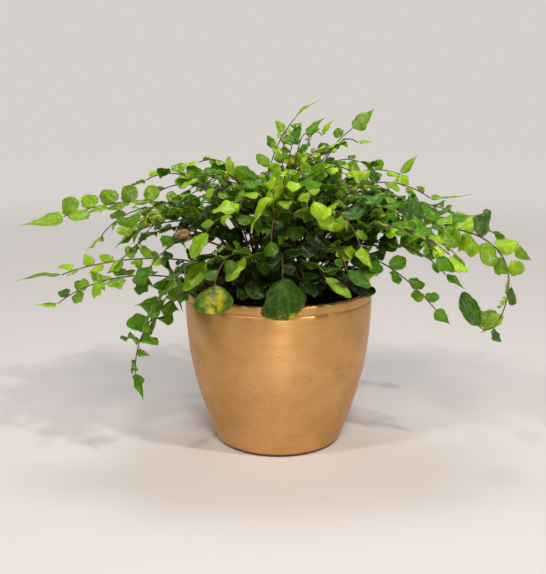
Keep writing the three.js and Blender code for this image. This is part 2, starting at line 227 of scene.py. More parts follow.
def inner_shade(place: np.ndarray) -> float:
    """Says how far inside the bunch a place is, where the leaves' green is painted darker as shade.

    Args:
        place: The place in millimetres.

    Returns:
        A number from 0, at the outside, to 1.
    """
    below_crown = np.clip((CROWN_LEVEL - place[2]) / CROWN_FADING, 0, 1)
    within = np.clip((BUNCH_REACH - np.hypot(place[0], place[1])) / BUNCH_FADING, 0, 1)
    return float(below_crown * within)


class Draw:
    """The repeatable stream of numbers from 0 to 1 that the part's source uses too."""

    START, SEED_STEP = 1009, 7919
    FACTOR, MODULUS = 16807, 2147483647

    def __init__(self, seed: int) -> None:
        """Starts the stream and drops its first two numbers.

        Args:
            seed: The stream's own number.
        """
        self.state = self.START + seed * self.SEED_STEP
        self()
        self()

    def __call__(self) -> float:
        """Gives the next number."""
        self.state = self.state * self.FACTOR % self.MODULUS
        return self.state / self.MODULUS

    def spread(self, width: float) -> float:
        """Gives a number spread evenly round zero over a width."""
        return width * (self() - 0.5)


@dataclass
class FrondPlan:
    """One frond: the arch of its stem and the rule for its leaflets, in millimetres and degrees.

    heading is anticlockwise from +X. rise, crest and end are the arch's guide points as reach and height.
    lifts say how far the leaflets of each side stand up. bare is the share of the stem without leaflets.
    leaf is a leaflet's length and width. end_leaf adds the angle up from the stem and the roll.
    The rest is for looks alone: growth scales the side leaflets, tip_growth the last of them once more and
    slimness their width, crumple scales their waves and folds, and ripeness deepens their green.
    yellow is the end leaf's age and end_form its outline, and end_aim, end_face and end_size are for where
    the rule's don't do. tail is two more guide points past the stem's end, and tip_leaves are leaflets given
    one by one.
    """

    name: str
    heading: float
    root: Pair
    rise: Pair
    crest: Pair
    end: Pair
    lifts: Pair
    leaflets: int
    bare: float
    leaf: Pair
    end_leaf: tuple[float, float, float, float]
    tone: Tone
    sway: float = 0.0
    growth: float = 1.1
    tip_growth: float = 1.0
    slimness: float = 1.0
    crumple: float = 1.0
    yellow: float = 0.0
    ripeness: float = 0.0
    end_form: LeafForm = LeafForm.LANCE
    end_aim: Triple | None = None
    end_face: Triple | None = None
    end_size: Pair | None = None
    tail: tuple[Triple, ...] = ()
    tip_leaves: tuple["TipLeaf", ...] = ()


@dataclass(frozen=True)
class TipLeaf:
    """A listed leaflet: its foot and tip, the way its upper face looks and its width, in millimetres."""

    foot: Triple
    tip: Triple
    face: Triple
    width: float
    form: LeafForm = LeafForm.ROUND

    def leaflet(self) -> "Leaflet":
        """Works out the directions and the length of the leaflet.

        Returns:
            The leaflet with its foot where it was set.
        """
        foot = np.array(self.foot, float)
        aim = np.array(self.tip, float) - foot
        return Leaflet(foot, *facing(aim, self.face), float(np.linalg.norm(aim)), self.width, self.form)


LIGHT, DARK = Tone.LIGHT, Tone.DARK
ROUND, LANCE, DROP, BROAD = LeafForm

PLACED_FRONDS = [
    FrondPlan("left_long", 184, (-24, -4), (4, 200), (90, 186), (131, 171),
              (0, 60), 16, 0.36, (13, 11.5), (35, 11, 12, 55), LIGHT, growth=1.08, tip_growth=2.4,
              crumple=0.6, ripeness=0.2, end_form=DROP, end_aim=(-0.98, -0.05, -0.16),
              end_face=(-0.1, -0.8, 0.6), end_size=(34, 12)),
    FrondPlan("left_mid", 188, (-26, -10), (0, 154), (100, 144), (130, 131),
              (-5, 40), 14, 0.34, (13, 10), (30, 8, 22, 40), LIGHT, growth=1.05, tip_growth=2.0,
              slimness=0.72, crumple=0.7),
    FrondPlan("left_low", 196, (-23, -16), (10, 124), (90, 150), (134, 116),
              (-10, 35), 12, 0.36, (13, 9), (15, 6.5, 25, 40), LIGHT, growth=1.4, crumple=2.0,
              ripeness=0.4, end_size=(15, 4)),
    FrondPlan("left_droop", 200, (-18, -22), (15, 142), (88, 125), (88, 66),
              (60, -50), 11, 0.38, (16, 12), (21, 13, -10, 70), DARK, growth=1.5, tip_growth=0.5,
              crumple=2.0, ripeness=-0.3, end_size=(17, 9)),
    FrondPlan("left_front", 220, (-14, -24), (8, 152), (55, 164), (86, 122),
              (35, 0), 10, 0.34, (16, 13), (20, 14, 0, 50), DARK),
    FrondPlan("left_upper", 168, (-18, 6), (4, 178), (50, 214), (84, 194),
              (30, 30), 10, 0.42, (13, 10), (16, 9, 0, 30), LIGHT, growth=1.4, ripeness=0.15),
    FrondPlan("left_crown", 150, (-10, 10), (0, 184), (26, 206), (54, 198),
              (30, 30), 8, 0.46, (14, 12), (16, 10, 0, 30), LIGHT),
    FrondPlan("left_inner", 194, (-15, -8), (4, 166), (50, 178), (86, 163),
              (10, 50), 10, 0.36, (15, 12), (20, 11, 0, 40), DARK),
    FrondPlan("top_high", 50, (-10, 16), (-10, 186), (4, 218), (36, 240),
              (40, -10), 10, 0.48, (13, 8), (22, 7, 12, 60), LIGHT, growth=1.15, crumple=1.6, ripeness=0.3,
              end_aim=(0.66, 0.1, 0.75), end_face=(-0.68, -0.45, 0.58)),
    FrondPlan("top_second", 62, (2, 14), (0, 180), (6, 206), (20, 222),
              (40, 0), 7, 0.5, (12, 9), (20, 9, 0, 50), DARK),
    FrondPlan("top_right", 24, (10, 10), (0, 172), (18, 212), (50, 232),
              (40, 0), 9, 0.45, (13, 10), (23, 11, 5, 60), LIGHT, growth=1.4, crumple=1.3, ripeness=0.68,
              end_aim=(0.74, -0.1, 0.66), end_face=(-0.35, -0.85, 0.4), end_size=(22, 13)),
    FrondPlan("right_upper", 16, (16, 5), (0, 182), (36, 214), (80, 198),
              (45, 0), 10, 0.4, (16, 11), (22, 7, 60, 60), LIGHT, growth=1.2, ripeness=0.45),
    FrondPlan("right_high", 5, (21, 0), (2, 186), (48, 212), (92, 182),
              (45, -5), 11, 0.4, (15, 12), (32, 7, 35, 40), LIGHT, ripeness=0.45, end_form=DROP,
              end_aim=(0.99, -0.1, -0.02), end_face=(0.1, -0.6, 0.8), end_size=(30, 8)),
    FrondPlan("right_mid", -4, (15, -5), (4, 178), (64, 192), (104, 164),
              (40, 0), 10, 0.38, (15, 12), (26, 14, 50, 60), DARK, growth=1.3, ripeness=-0.25),
    FrondPlan("right_arch", -14, (26, -7), (20, 178), (162, 192), (136, 106),
              (55, -20), 18, 0.32, (19, 14), (22, 15, -20, 60), LIGHT, growth=1.12, crumple=1.3,
              ripeness=0.32, tail=((-9, -1, -17), (-17, -3, -9)), tip_leaves=(
                  TipLeaf((142, -42, 97), (131, -38, 121), (0.1, -0.95, 0.1), 14),
                  TipLeaf((157, -41, 103), (138, -42, 100), (0.0, -0.8, 0.6), 14),
                  TipLeaf((152, -41, 96), (158, -43, 86), (0.5, -0.7, 0.3), 8))),
    FrondPlan("right_far", 8, (28, 3), (10, 172), (104, 186), (156, 142),
              (40, 10), 13, 0.36, (17, 13), (20, 13, 0, 40), LIGHT, growth=1.2, ripeness=0.1),
    FrondPlan("right_low", -22, (23, -14), (8, 166), (72, 166), (98, 136),
              (40, 0), 10, 0.36, (14, 10), (16, 8, 10, 40), DARK),
    FrondPlan("right_under", -34, (18, -19), (8, 164), (58, 160), (102, 118),
              (35, 0), 11, 0.34, (15, 11), (14, 9, 0, 40), DARK),
    FrondPlan("right_front", -50, (10, -14), (2, 172), (42, 204), (68, 158),
              (20, 20), 9, 0.38, (17, 14), (17, 12, 0, 0), LIGHT, growth=0.95, ripeness=0.15),
    FrondPlan("front_left", -122, (-8, -26), (6, 150), (50, 168), (64, 136),
              (15, 15), 8, 0.38, (16, 13), (25, 18, 15, 0), LIGHT, ripeness=0.6, yellow=0.63,
              end_form=BROAD, end_aim=(0.02, -0.5, -0.86), end_face=(-0.1, -0.8, 0.55),
              end_size=(20, 26)),
    FrondPlan("front_mid", -90, (2, -26), (4, 150), (44, 166), (54, 140),
              (15, 15), 7, 0.42, (16, 13), (30, 23, 0, -10), DARK, ripeness=0.4, end_form=BROAD,
              end_aim=(0.22, -0.3, -0.93), end_face=(0.05, -0.92, 0.35), end_size=(28, 31)),
    FrondPlan("front_right", -60, (13, -24), (6, 150), (50, 170), (62, 144),
              (15, 20), 8, 0.38, (16, 13), (22, 12, 0, 10), DARK, growth=0.85, ripeness=0.3, end_form=ROUND,
              end_aim=(0.84, -0.4, -0.25), end_face=(0.2, -0.75, 0.6), end_size=(18, 10)),
    FrondPlan("crown_left", -134, (-7, -14), (0, 166), (32, 194), (60, 166),
              (20, 20), 8, 0.42, (17, 14), (20, 14, 0, 0), LIGHT, growth=0.9, end_form=ROUND),
    FrondPlan("crown_front", -96, (0, -17), (0, 164), (34, 192), (50, 162),
              (20, 20), 8, 0.42, (17, 14), (20, 14, 0, 0), DARK, growth=0.75, ripeness=0.1,
              end_form=ROUND, end_size=(14, 11)),
    FrondPlan("crown_high", -108, (-3, -7), (0, 180), (16, 208), (40, 192),
              (20, 20), 8, 0.48, (17, 13), (26, 13, 0, 0), LIGHT, growth=0.9, crumple=1.5, ripeness=-0.15),
    FrondPlan("crown_right", -68, (6, -7), (0, 178), (20, 208), (46, 186),
              (20, 20), 8, 0.48, (17, 13), (22, 13, 0, 0), LIGHT, growth=0.85, crumple=1.5, ripeness=-0.15,
              end_form=ROUND),
]


@dataclass
class RingPlan:
    """A ring of fronds placed by rule between two headings, with the first frond as its pattern."""

    pattern: FrondPlan
    seed: int
    count: int
    last_heading: float
    root_radius: float
    tones: tuple[Tone, Tone]
    shortest: float = 0.9
    reach_spread: float = 0.25
    place_spread: float = 0.5
    height_spread: float = 14.0
    sway_spread: float = 24.0

    def fronds(self) -> list[FrondPlan]:
        """Lists the ring's fronds.

        Returns:
            One plan for each frond, with its own heading, reach, height and drift.
        """
        draw = Draw(self.seed)
        first = self.pattern
        spacing = (self.last_heading - first.heading) / (self.count - 1)
        plans = []
        for index in range(self.count):
            heading = first.heading + spacing * (index + draw.spread(self.place_spread))
            stretch = self.shortest + self.reach_spread * draw()
            lift = draw.spread(self.height_spread)
            around = math.radians(heading)
            plans.append(replace(
                first,
                name=f"{first.name}_{index + 1}",
                heading=heading,
                root=(self.root_radius * math.cos(around), self.root_radius * math.sin(around)),
                crest=(first.crest[0] * stretch, first.crest[1] + lift),
                end=(first.end[0] * stretch, first.end[1] + 2 * lift),
                tone=self.tones[index % 2],
                sway=draw.spread(self.sway_spread),
            ))
        return plans


FROND_RINGS = [
    RingPlan(FrondPlan("back_long", 28, (27, 0), (8, 168), (78, 192), (122, 140),
                       (20, 20), 8, 0.36, (16, 13), (24, 11, 0, 0), LIGHT), 10, 7, 154, 27, (LIGHT, DARK)),
    RingPlan(FrondPlan("back_mid", 38, (20, 0), (2, 178), (44, 204), (82, 174),
                       (25, 25), 7, 0.42, (15, 12), (20, 11, 0, 0), DARK), 15, 6, 146, 20, (DARK, LIGHT)),
    RingPlan(FrondPlan("middle", 95, (4, 0), (0, 172), (8, 192), (28, 190),
                       (25, 25), 6, 0.5, (15, 12), (18, 11, 0, 0), LIGHT, end_form=ROUND),
             1, 4, 380, 4, (LIGHT, DARK)),
    RingPlan(FrondPlan("low", -160, (32, 0), (0, 138), (16, 148), (27, 137),
                       (15, 15), 5, 0.45, (17, 14), (20, 14, 0, 0), DARK, ripeness=0.3,
                       end_form=ROUND), 24, 9, 160, 32, (DARK, DARK)),
]

# Rings of small fronds that only fill the bunch, among the part's fronds and inside its reach.
FILLING_RINGS = [
    RingPlan(FrondPlan("filling_low", -165, (30, 0), (2, 124), (14, 134), (28, 126),
                       (5, 5), 5, 0.4, (15, 12.5), (17, 12, 0, 0), DARK, crumple=1.5, ripeness=0.5,
                       end_form=ROUND), 61, 9, 155, 30, (DARK, DARK), height_spread=6.0),
    RingPlan(FrondPlan("filling_inner", -35, (17, 0), (0, 178), (16, 202), (44, 188),
                       (5, 5), 6, 0.62, (13, 11), (15, 11, 0, 0), DARK, growth=1.0, crumple=1.4,
                       end_form=ROUND), 62, 9, 215, 17, (DARK, LIGHT)),
    RingPlan(FrondPlan("filling_crown", -150, (9, 0), (0, 186), (22, 214), (44, 198),
                       (30, -10), 9, 0.58, (12, 9.5), (15, 9, 0, 0), LIGHT, growth=1.0, crumple=1.6,
                       ripeness=-0.15, end_form=ROUND), 63, 13, 170, 9, (LIGHT, DARK)),
    RingPlan(FrondPlan("filling_side", -25, (22, 0), (4, 176), (46, 194), (78, 172),
                       (20, -10), 8, 0.56, (14, 11), (17, 10, 0, 0), DARK, crumple=1.5,
                       end_form=ROUND), 64, 9, 205, 22, (DARK, LIGHT)),
    RingPlan(FrondPlan("filling_top", 10, (8, 0), (0, 190), (8, 216), (34, 218),
                       (30, 10), 9, 0.5, (12.5, 9.5), (16, 8, 0, 0), LIGHT, growth=1.1, crumple=1.7,
                       ripeness=-0.1), 65, 5, 70, 8, (LIGHT, LIGHT)),
    RingPlan(FrondPlan("filling_right", -34, (20, 0), (4, 170), (66, 186), (110, 154),
                       (30, 0), 10, 0.42, (17, 12), (17, 12, 0, 0), LIGHT, growth=1.2, crumple=1.5,
                       end_form=ROUND), 66, 6, 22, 20, (DARK, LIGHT)),
    RingPlan(FrondPlan("filling_left", 162, (20, 0), (4, 166), (60, 184), (90, 156),
                       (30, 0), 10, 0.44, (15, 11), (16, 10, 0, 0), LIGHT, crumple=1.5, ripeness=0.05,
                       end_form=ROUND), 67, 5, 218, 20, (DARK, LIGHT)),
]


def reaching(name: str, leaf: TipLeaf, tone: Tone, leaflets: int, size: Pair = (14, 11),
             yellow: float = 0.0, ripeness: float = 0.0) -> FrondPlan:
    """Plans a frond that arches from the soil to one given leaf.

    Args:
        name: The frond's name.
        leaf: The leaf at the frond's end.
        tone: The leaves' colour.
        leaflets: The number of smaller leaflets below it.
        size: Their length and width.
        yellow: The leaf's age.
        ripeness: How deep the leaves' green is.

    Returns:
        The frond's plan.
    """
    foot = np.array(leaf.foot)
    aim = np.array(leaf.tip) - foot
    root = foot[:2] * SINGLE_ROOT
    gap = foot[:2] - root
    reach, height = float(np.linalg.norm(gap)), float(foot[2])
    return FrondPlan(
        name, math.degrees(math.atan2(gap[1], gap[0])), tuple(root),
        (0, height * SINGLE_RISE + SINGLE_RISE_ADDED), (reach * SINGLE_CREST, height + SINGLE_CREST_ADDED),
        (reach, height), (SINGLE_LIFT, SINGLE_LIFT), leaflets, SINGLE_BARE, size,
        (float(np.linalg.norm(aim)), leaf.width, 0, 0), tone, growth=1.0, crumple=1.4, yellow=yellow,
        ripeness=ripeness, end_form=leaf.form, end_aim=tuple(aim), end_face=leaf.face,
    )


# Leaves of the bunch that the photograph shows plainly, each on a frond of its own.
SINGLE_FRONDS = [
    reaching("rim_edge", TipLeaf((44, -60, 142), (15, -62, 140), (0, 0.2, 1), 11), DARK, 1),
    reaching("rim_lance", TipLeaf((31, -62, 136), (48, -68, 124), (-0.35, -0.75, 0.4), 7.5), LIGHT, 0,
             yellow=0.3, ripeness=-0.15),
    reaching("rim_curled", TipLeaf((-23, -45, 149), (-37, -62, 137), (-0.6, -0.4, 0.7), 11), LIGHT, 0,
             ripeness=-0.4),
    reaching("crown_blade", TipLeaf((-8, -36, 181), (8, -30, 204), (0.5, -0.8, 0.3), 11), LIGHT, 4,
             yellow=0.4, ripeness=-0.3),
    reaching("crown_streak", TipLeaf((-4, -40, 187), (-25, -50, 179), (-0.2, -0.6, 0.75), 10), LIGHT, 3,
             yellow=0.35, ripeness=-0.3),
    reaching("crown_lime", TipLeaf((-27, -34, 182), (-45, -46, 182), (0.1, -0.7, 0.7), 17), LIGHT, 4,
             ripeness=-0.3),
    reaching("side_upper", TipLeaf((52, -20, 164), (34, -36, 170), (0.1, -0.8, 0.6), 16), LIGHT, 4,
             ripeness=-0.25),
    reaching("side_middle", TipLeaf((62, -35, 150), (43, -48, 154), (-0.1, -0.7, 0.7), 14), LIGHT, 3,
             ripeness=-0.35),
    reaching("side_lower", TipLeaf((69, -40, 145), (53, -57, 136), (0.1, -0.6, 0.8), 14), LIGHT, 3,
             ripeness=-0.35),
    reaching("side_left", TipLeaf((-51, -48, 146), (-66, -62, 130), (-0.3, -0.8, 0.5), 15), LIGHT, 3,
             ripeness=-0.2),
    reaching("tall_middle", TipLeaf((23, 20, 226), (28, 20, 243), (0.5, -0.8, 0.1), 8, LANCE), DARK, 7,
             (12, 9)),
    reaching("tall_far", TipLeaf((62, 50, 221), (74, 50, 225), (0, -0.5, 0.8), 5, LANCE), LIGHT, 7, (9, 7)),
    reaching("tall_twig", TipLeaf((33, 30, 227), (41, 30, 239), (0.7, -0.2, 0.7), 5, LANCE), LIGHT, 10,
             (10, 5)),
    reaching("upper_far_left", TipLeaf((-54, 12, 193), (-66, 8, 205), (-0.3, -0.8, 0.5), 12), DARK, 5),
    reaching("upper_left", TipLeaf((-37, 6, 197), (-48, 2, 208), (-0.2, -0.85, 0.5), 12), DARK, 5),
    reaching("upper_round", TipLeaf((-16, -4, 195), (-26, -8, 208), (0.1, -0.9, 0.4), 14), DARK, 4),
    reaching("dark_left", TipLeaf((-22, -45, 153), (-40, -52, 143), (0, -0.7, 0.7), 14), DARK, 0),
    reaching("dark_middle", TipLeaf((-12, -50, 144), (4, -58, 152), (0.1, -0.75, 0.6), 15), DARK, 1),
    reaching("dark_right", TipLeaf((36, -40, 155), (20, -46, 162), (0.1, -0.75, 0.6), 15), DARK, 0),
    reaching("dark_far_right", TipLeaf((52, -44, 146), (66, -58, 140), (0.1, -0.7, 0.7), 14), DARK, 2),
]


@dataclass
class StemLine:
    """The arch of one frond's stem as a cubic curve in millimetres."""

    plan: FrondPlan
    guides: np.ndarray = field(init=False)

    def __post_init__(self) -> None:
        """Works out the four guide points."""
        heading = math.radians(self.plan.heading)
        self.outward = np.array([math.cos(heading), math.sin(heading), 0.0])
        self.sideways = np.array([-math.sin(heading), math.cos(heading), 0.0])
        steps = [
            (0.0, SOIL_TOP - STEM_DEPTH, 0.0),
            (*self.plan.rise, 0.0),
            (*self.plan.crest, self.plan.sway / 2),
            (*self.plan.end, self.plan.sway),
        ]
        self.guides = np.array([
            np.array([*self.plan.root, height]) + self.outward * reach + self.sideways * drift
            for reach, height, drift in steps
        ])

    def at(self, shares: np.ndarray) -> np.ndarray:
        """Gives the curve's points at shares of its parameter."""
        return cubic(self.guides, shares)

    def spaced(self, steps: int) -> np.ndarray:
        """Gives points spaced evenly along the curve's length.

        Args:
            steps: The number of equal steps.

        Returns:
            One more point than steps.
        """
        shares = np.linspace(0, 1, CURVE_DIVISIONS + 1)
        lengths = self.lengths()
        return self.at(np.interp(np.linspace(0, lengths[-1], steps + 1), lengths, shares))

    def lengths(self) -> np.ndarray:
        """Gives the length from the root to each of the curve's divisions."""
        points = self.at(np.linspace(0, 1, CURVE_DIVISIONS + 1))
        return np.concatenate([[0], np.cumsum(np.linalg.norm(np.diff(points, axis=0), axis=1))])

    def fine(self, step: float) -> np.ndarray:
        """Gives points along the stem, on past the curve's end where the frond has a tail.

        Args:
            step: The length between two points.

        Returns:
            The points from the root to the tip.
        """
        points = self.spaced(int(self.lengths()[-1] / step))
        if not self.plan.tail:
            return points
        end = points[-1]
        lead = end + unit(end - points[-2]) * TAIL_LEAD
        guides = [end, lead] + [end + np.array(offset) for offset in self.plan.tail]
        return np.concatenate([points, cubic(guides, np.linspace(0, 1, TAIL_STEPS + 1)[1:])])

    def coarse(self) -> np.ndarray:
        """Gives the points that the part's few-sided stem stands on."""
        return self.spaced(math.floor(self.lengths()[-1] / STEM_STEP + 0.5))


@dataclass
class Leaflet:
    """One leaflet: where it stands in millimetres, its directions and its size."""

    root: np.ndarray
    direction: np.ndarray
    across: np.ndarray
    face: np.ndarray
    length: float
    width: float
    form: LeafForm

    def coarse_corners(self) -> np.ndarray:
        """Works out the corners that the part's own blade has for this leaflet.

        Returns:
            The corners round the rim and the middle ones above and below, in millimetres.
        """
        large = self.form is LANCE or self.length > LARGE_LEAF
        sides = LARGE_LEAF_SIDES if large else SMALL_LEAF_SIDES
        shape = OUTLINES[self.form]
        corners = []
        for side in range(1, sides):
            angle = 2 * math.pi * side / sides
            share = (1 - math.cos(angle)) / 2
            breadth = math.sin(angle)
            edge = max(math.sin(math.pi * share**shape.lean), 0.0) ** shape.fullness
            across = 0.0 if abs(breadth) < 1e-6 else -math.copysign(edge, breadth)
            corners.append((share, across, 0.0))
        corners += [(0.5, 0.0, 1.0), (0.5, 0.0, -1.0)]
        share, across, upper = np.array(corners).T
        droop = shape.sag * self.length * share**2 + shape.cup * self.width * across**2
        return (
            self.root
            + np.outer(share * (self.length + LEAF_ROOT) - LEAF_ROOT, self.direction)
            + np.outer(across * self.width / 2, self.across)
            + np.outer(upper * LEAF_THICKNESS / 2 - droop, self.face)
        )


@dataclass
class LeafletRule:
    """What a frond's rule says about one leaflet before its pose is known."""

    share: float
    side: int
    lift: float
    forward: float
    turn: float
    length: float
    width: float
    form: LeafForm

    def posed(self, line: StemLine, points: np.ndarray, pose: Triple) -> Leaflet:
        """Stands the leaflet on its stem in one pose.

        Args:
            line: The stem's arch.
            points: The points along the stem that the leaflet is placed by.
            pose: Lift, turn and size factor.

        Returns:
            The leaflet with its place and directions.
        """
        place = min(self.share, CURVE_END) * (len(points) - 1)
        index = int(place)
        tangent = unit(points[index + 1] - points[index])
        root = points[index] + (points[index + 1] - points[index]) * (place - index)
        level = unit(line.sideways - tangent * (line.sideways @ tangent))
        upward = unit(np.cross(tangent, level))
        lift = math.radians(self.lift + pose[0])
        forward = math.radians(self.forward)
        outward = level * self.side * math.cos(lift) + upward * math.sin(lift)
        direction = tangent * math.cos(forward) + outward * math.sin(forward)
        face = turned_about(unit(np.cross(tangent, outward) * self.side), direction, self.turn + pose[1])
        return Leaflet(
            root, direction, np.cross(face, direction), face, self.length * pose[2], self.width * pose[2],
            self.form)


def leaflet_rules(plan: FrondPlan, draw: Draw) -> list[LeafletRule]:
    """Lists a frond's leaflets by the part's own rule, the end leaflet last.

    Args:
        plan: The frond.
        draw: The frond's stream of numbers.

    Returns:
        The leaflets' shares, angles and sizes.
    """
    rules = []
    for index in range(plan.leaflets):
        run = index / plan.leaflets
        arch = math.sin(math.pi * min(run + SWELL_START, 1)) ** SWELL_FULLNESS
        swell = SWELL_LEAST + (1 - SWELL_LEAST) * arch - SWELL_TAPER * run
        growth = swell * (LEAST_SIZE + VARIED_SIZE * draw())
        place = run + draw.spread(VARIED_PLACE) / plan.leaflets
        rules.append(LeafletRule(
            share=plan.bare + (LAST_LEAF_SHARE - plan.bare) * place,
            side=1 if index % 2 == 0 else -1,
            lift=plan.lifts[index % 2] + draw.spread(VARIED_LIFT),
            forward=FORWARD_ANGLE + draw.spread(VARIED_FORWARD) - FORWARD_CLOSING * run,
            turn=draw.spread(VARIED_TURN),
            length=plan.leaf[0] * growth,
            width=plan.leaf[1] * growth,
            form=ROUND,
        ))
    length, width, rise, roll = plan.end_leaf
    rules.append(LeafletRule(
        share=1.0,
        side=1,
        lift=90.0,
        forward=rise + draw.spread(VARIED_END_FORWARD),
        turn=roll - 90 + draw.spread(VARIED_END_TURN),
        length=length,
        width=width,
        form=LANCE,
    ))
    return rules


def add_node(tree: NodeTree, kind: str, settings: dict | None = None, inputs: dict | None = None) -> Node:
    """Adds one shader node with its settings and links.

    Args:
        tree: The material's or world's node tree.
        kind: The node's class name after ShaderNode.
        settings: Attribute names and their values.
        inputs: Input names or numbers, each with a value, an output socket or a node to take the first of.

    Returns:
        The new node.
    """
    node = tree.nodes.new(f"ShaderNode{kind}")
    for name, value in (settings or {}).items():
        setattr(node, name, value)
    for socket, value in (inputs or {}).items():
        source = value.outputs[0] if isinstance(value, Node) else value
        if isinstance(source, Socket):
            tree.links.new(source, node.inputs[socket])
        else:
            node.inputs[socket].default_value = source
    return node


# Socket numbers of the Mix node when it mixes colours.
MIX_SHARE, MIX_FIRST, MIX_SECOND, MIX_RESULT = 0, 6, 7, 2


def coated(tree: NodeTree, base: str, coats: list[tuple[Node | Socket, str]]) -> Socket:
    """Lays colours over a base colour, each over the ones before it.

    Args:
        tree: The node tree.
        base: The lowest colour.
        coats: Each coat's strength, as a node or a socket, with its colour.

    Returns:
        The socket with the colour that shows.
    """
    shown = linear(base)
    for strength, colour in coats:
        mix = add_node(tree, "Mix", {"data_type": "RGBA"}, {
            MIX_SHARE: strength, MIX_FIRST: shown, MIX_SECOND: linear(colour)})
        shown = mix.outputs[MIX_RESULT]
    return shown


@dataclass(frozen=True)
class Finish:
    """A named surface finish that builds its material once."""

    name: str

    def material(self) -> bpy.types.Material:
        """Gives the finish's material and makes it the first time.

        Returns:
            The material, shared by all pieces with this finish.
        """
        found = bpy.data.materials.get(self.name)
        if found:
            return found
        made = bpy.data.materials.new(self.name)
        made.use_nodes = True
        made.node_tree.nodes.clear()
        add_node(made.node_tree, "OutputMaterial", None, {"Surface": self.surface(made.node_tree)})
        return made

    def surface(self, tree: NodeTree) -> Node:
        """Builds the shader and gives the node that goes to the output."""
        raise NotImplementedError


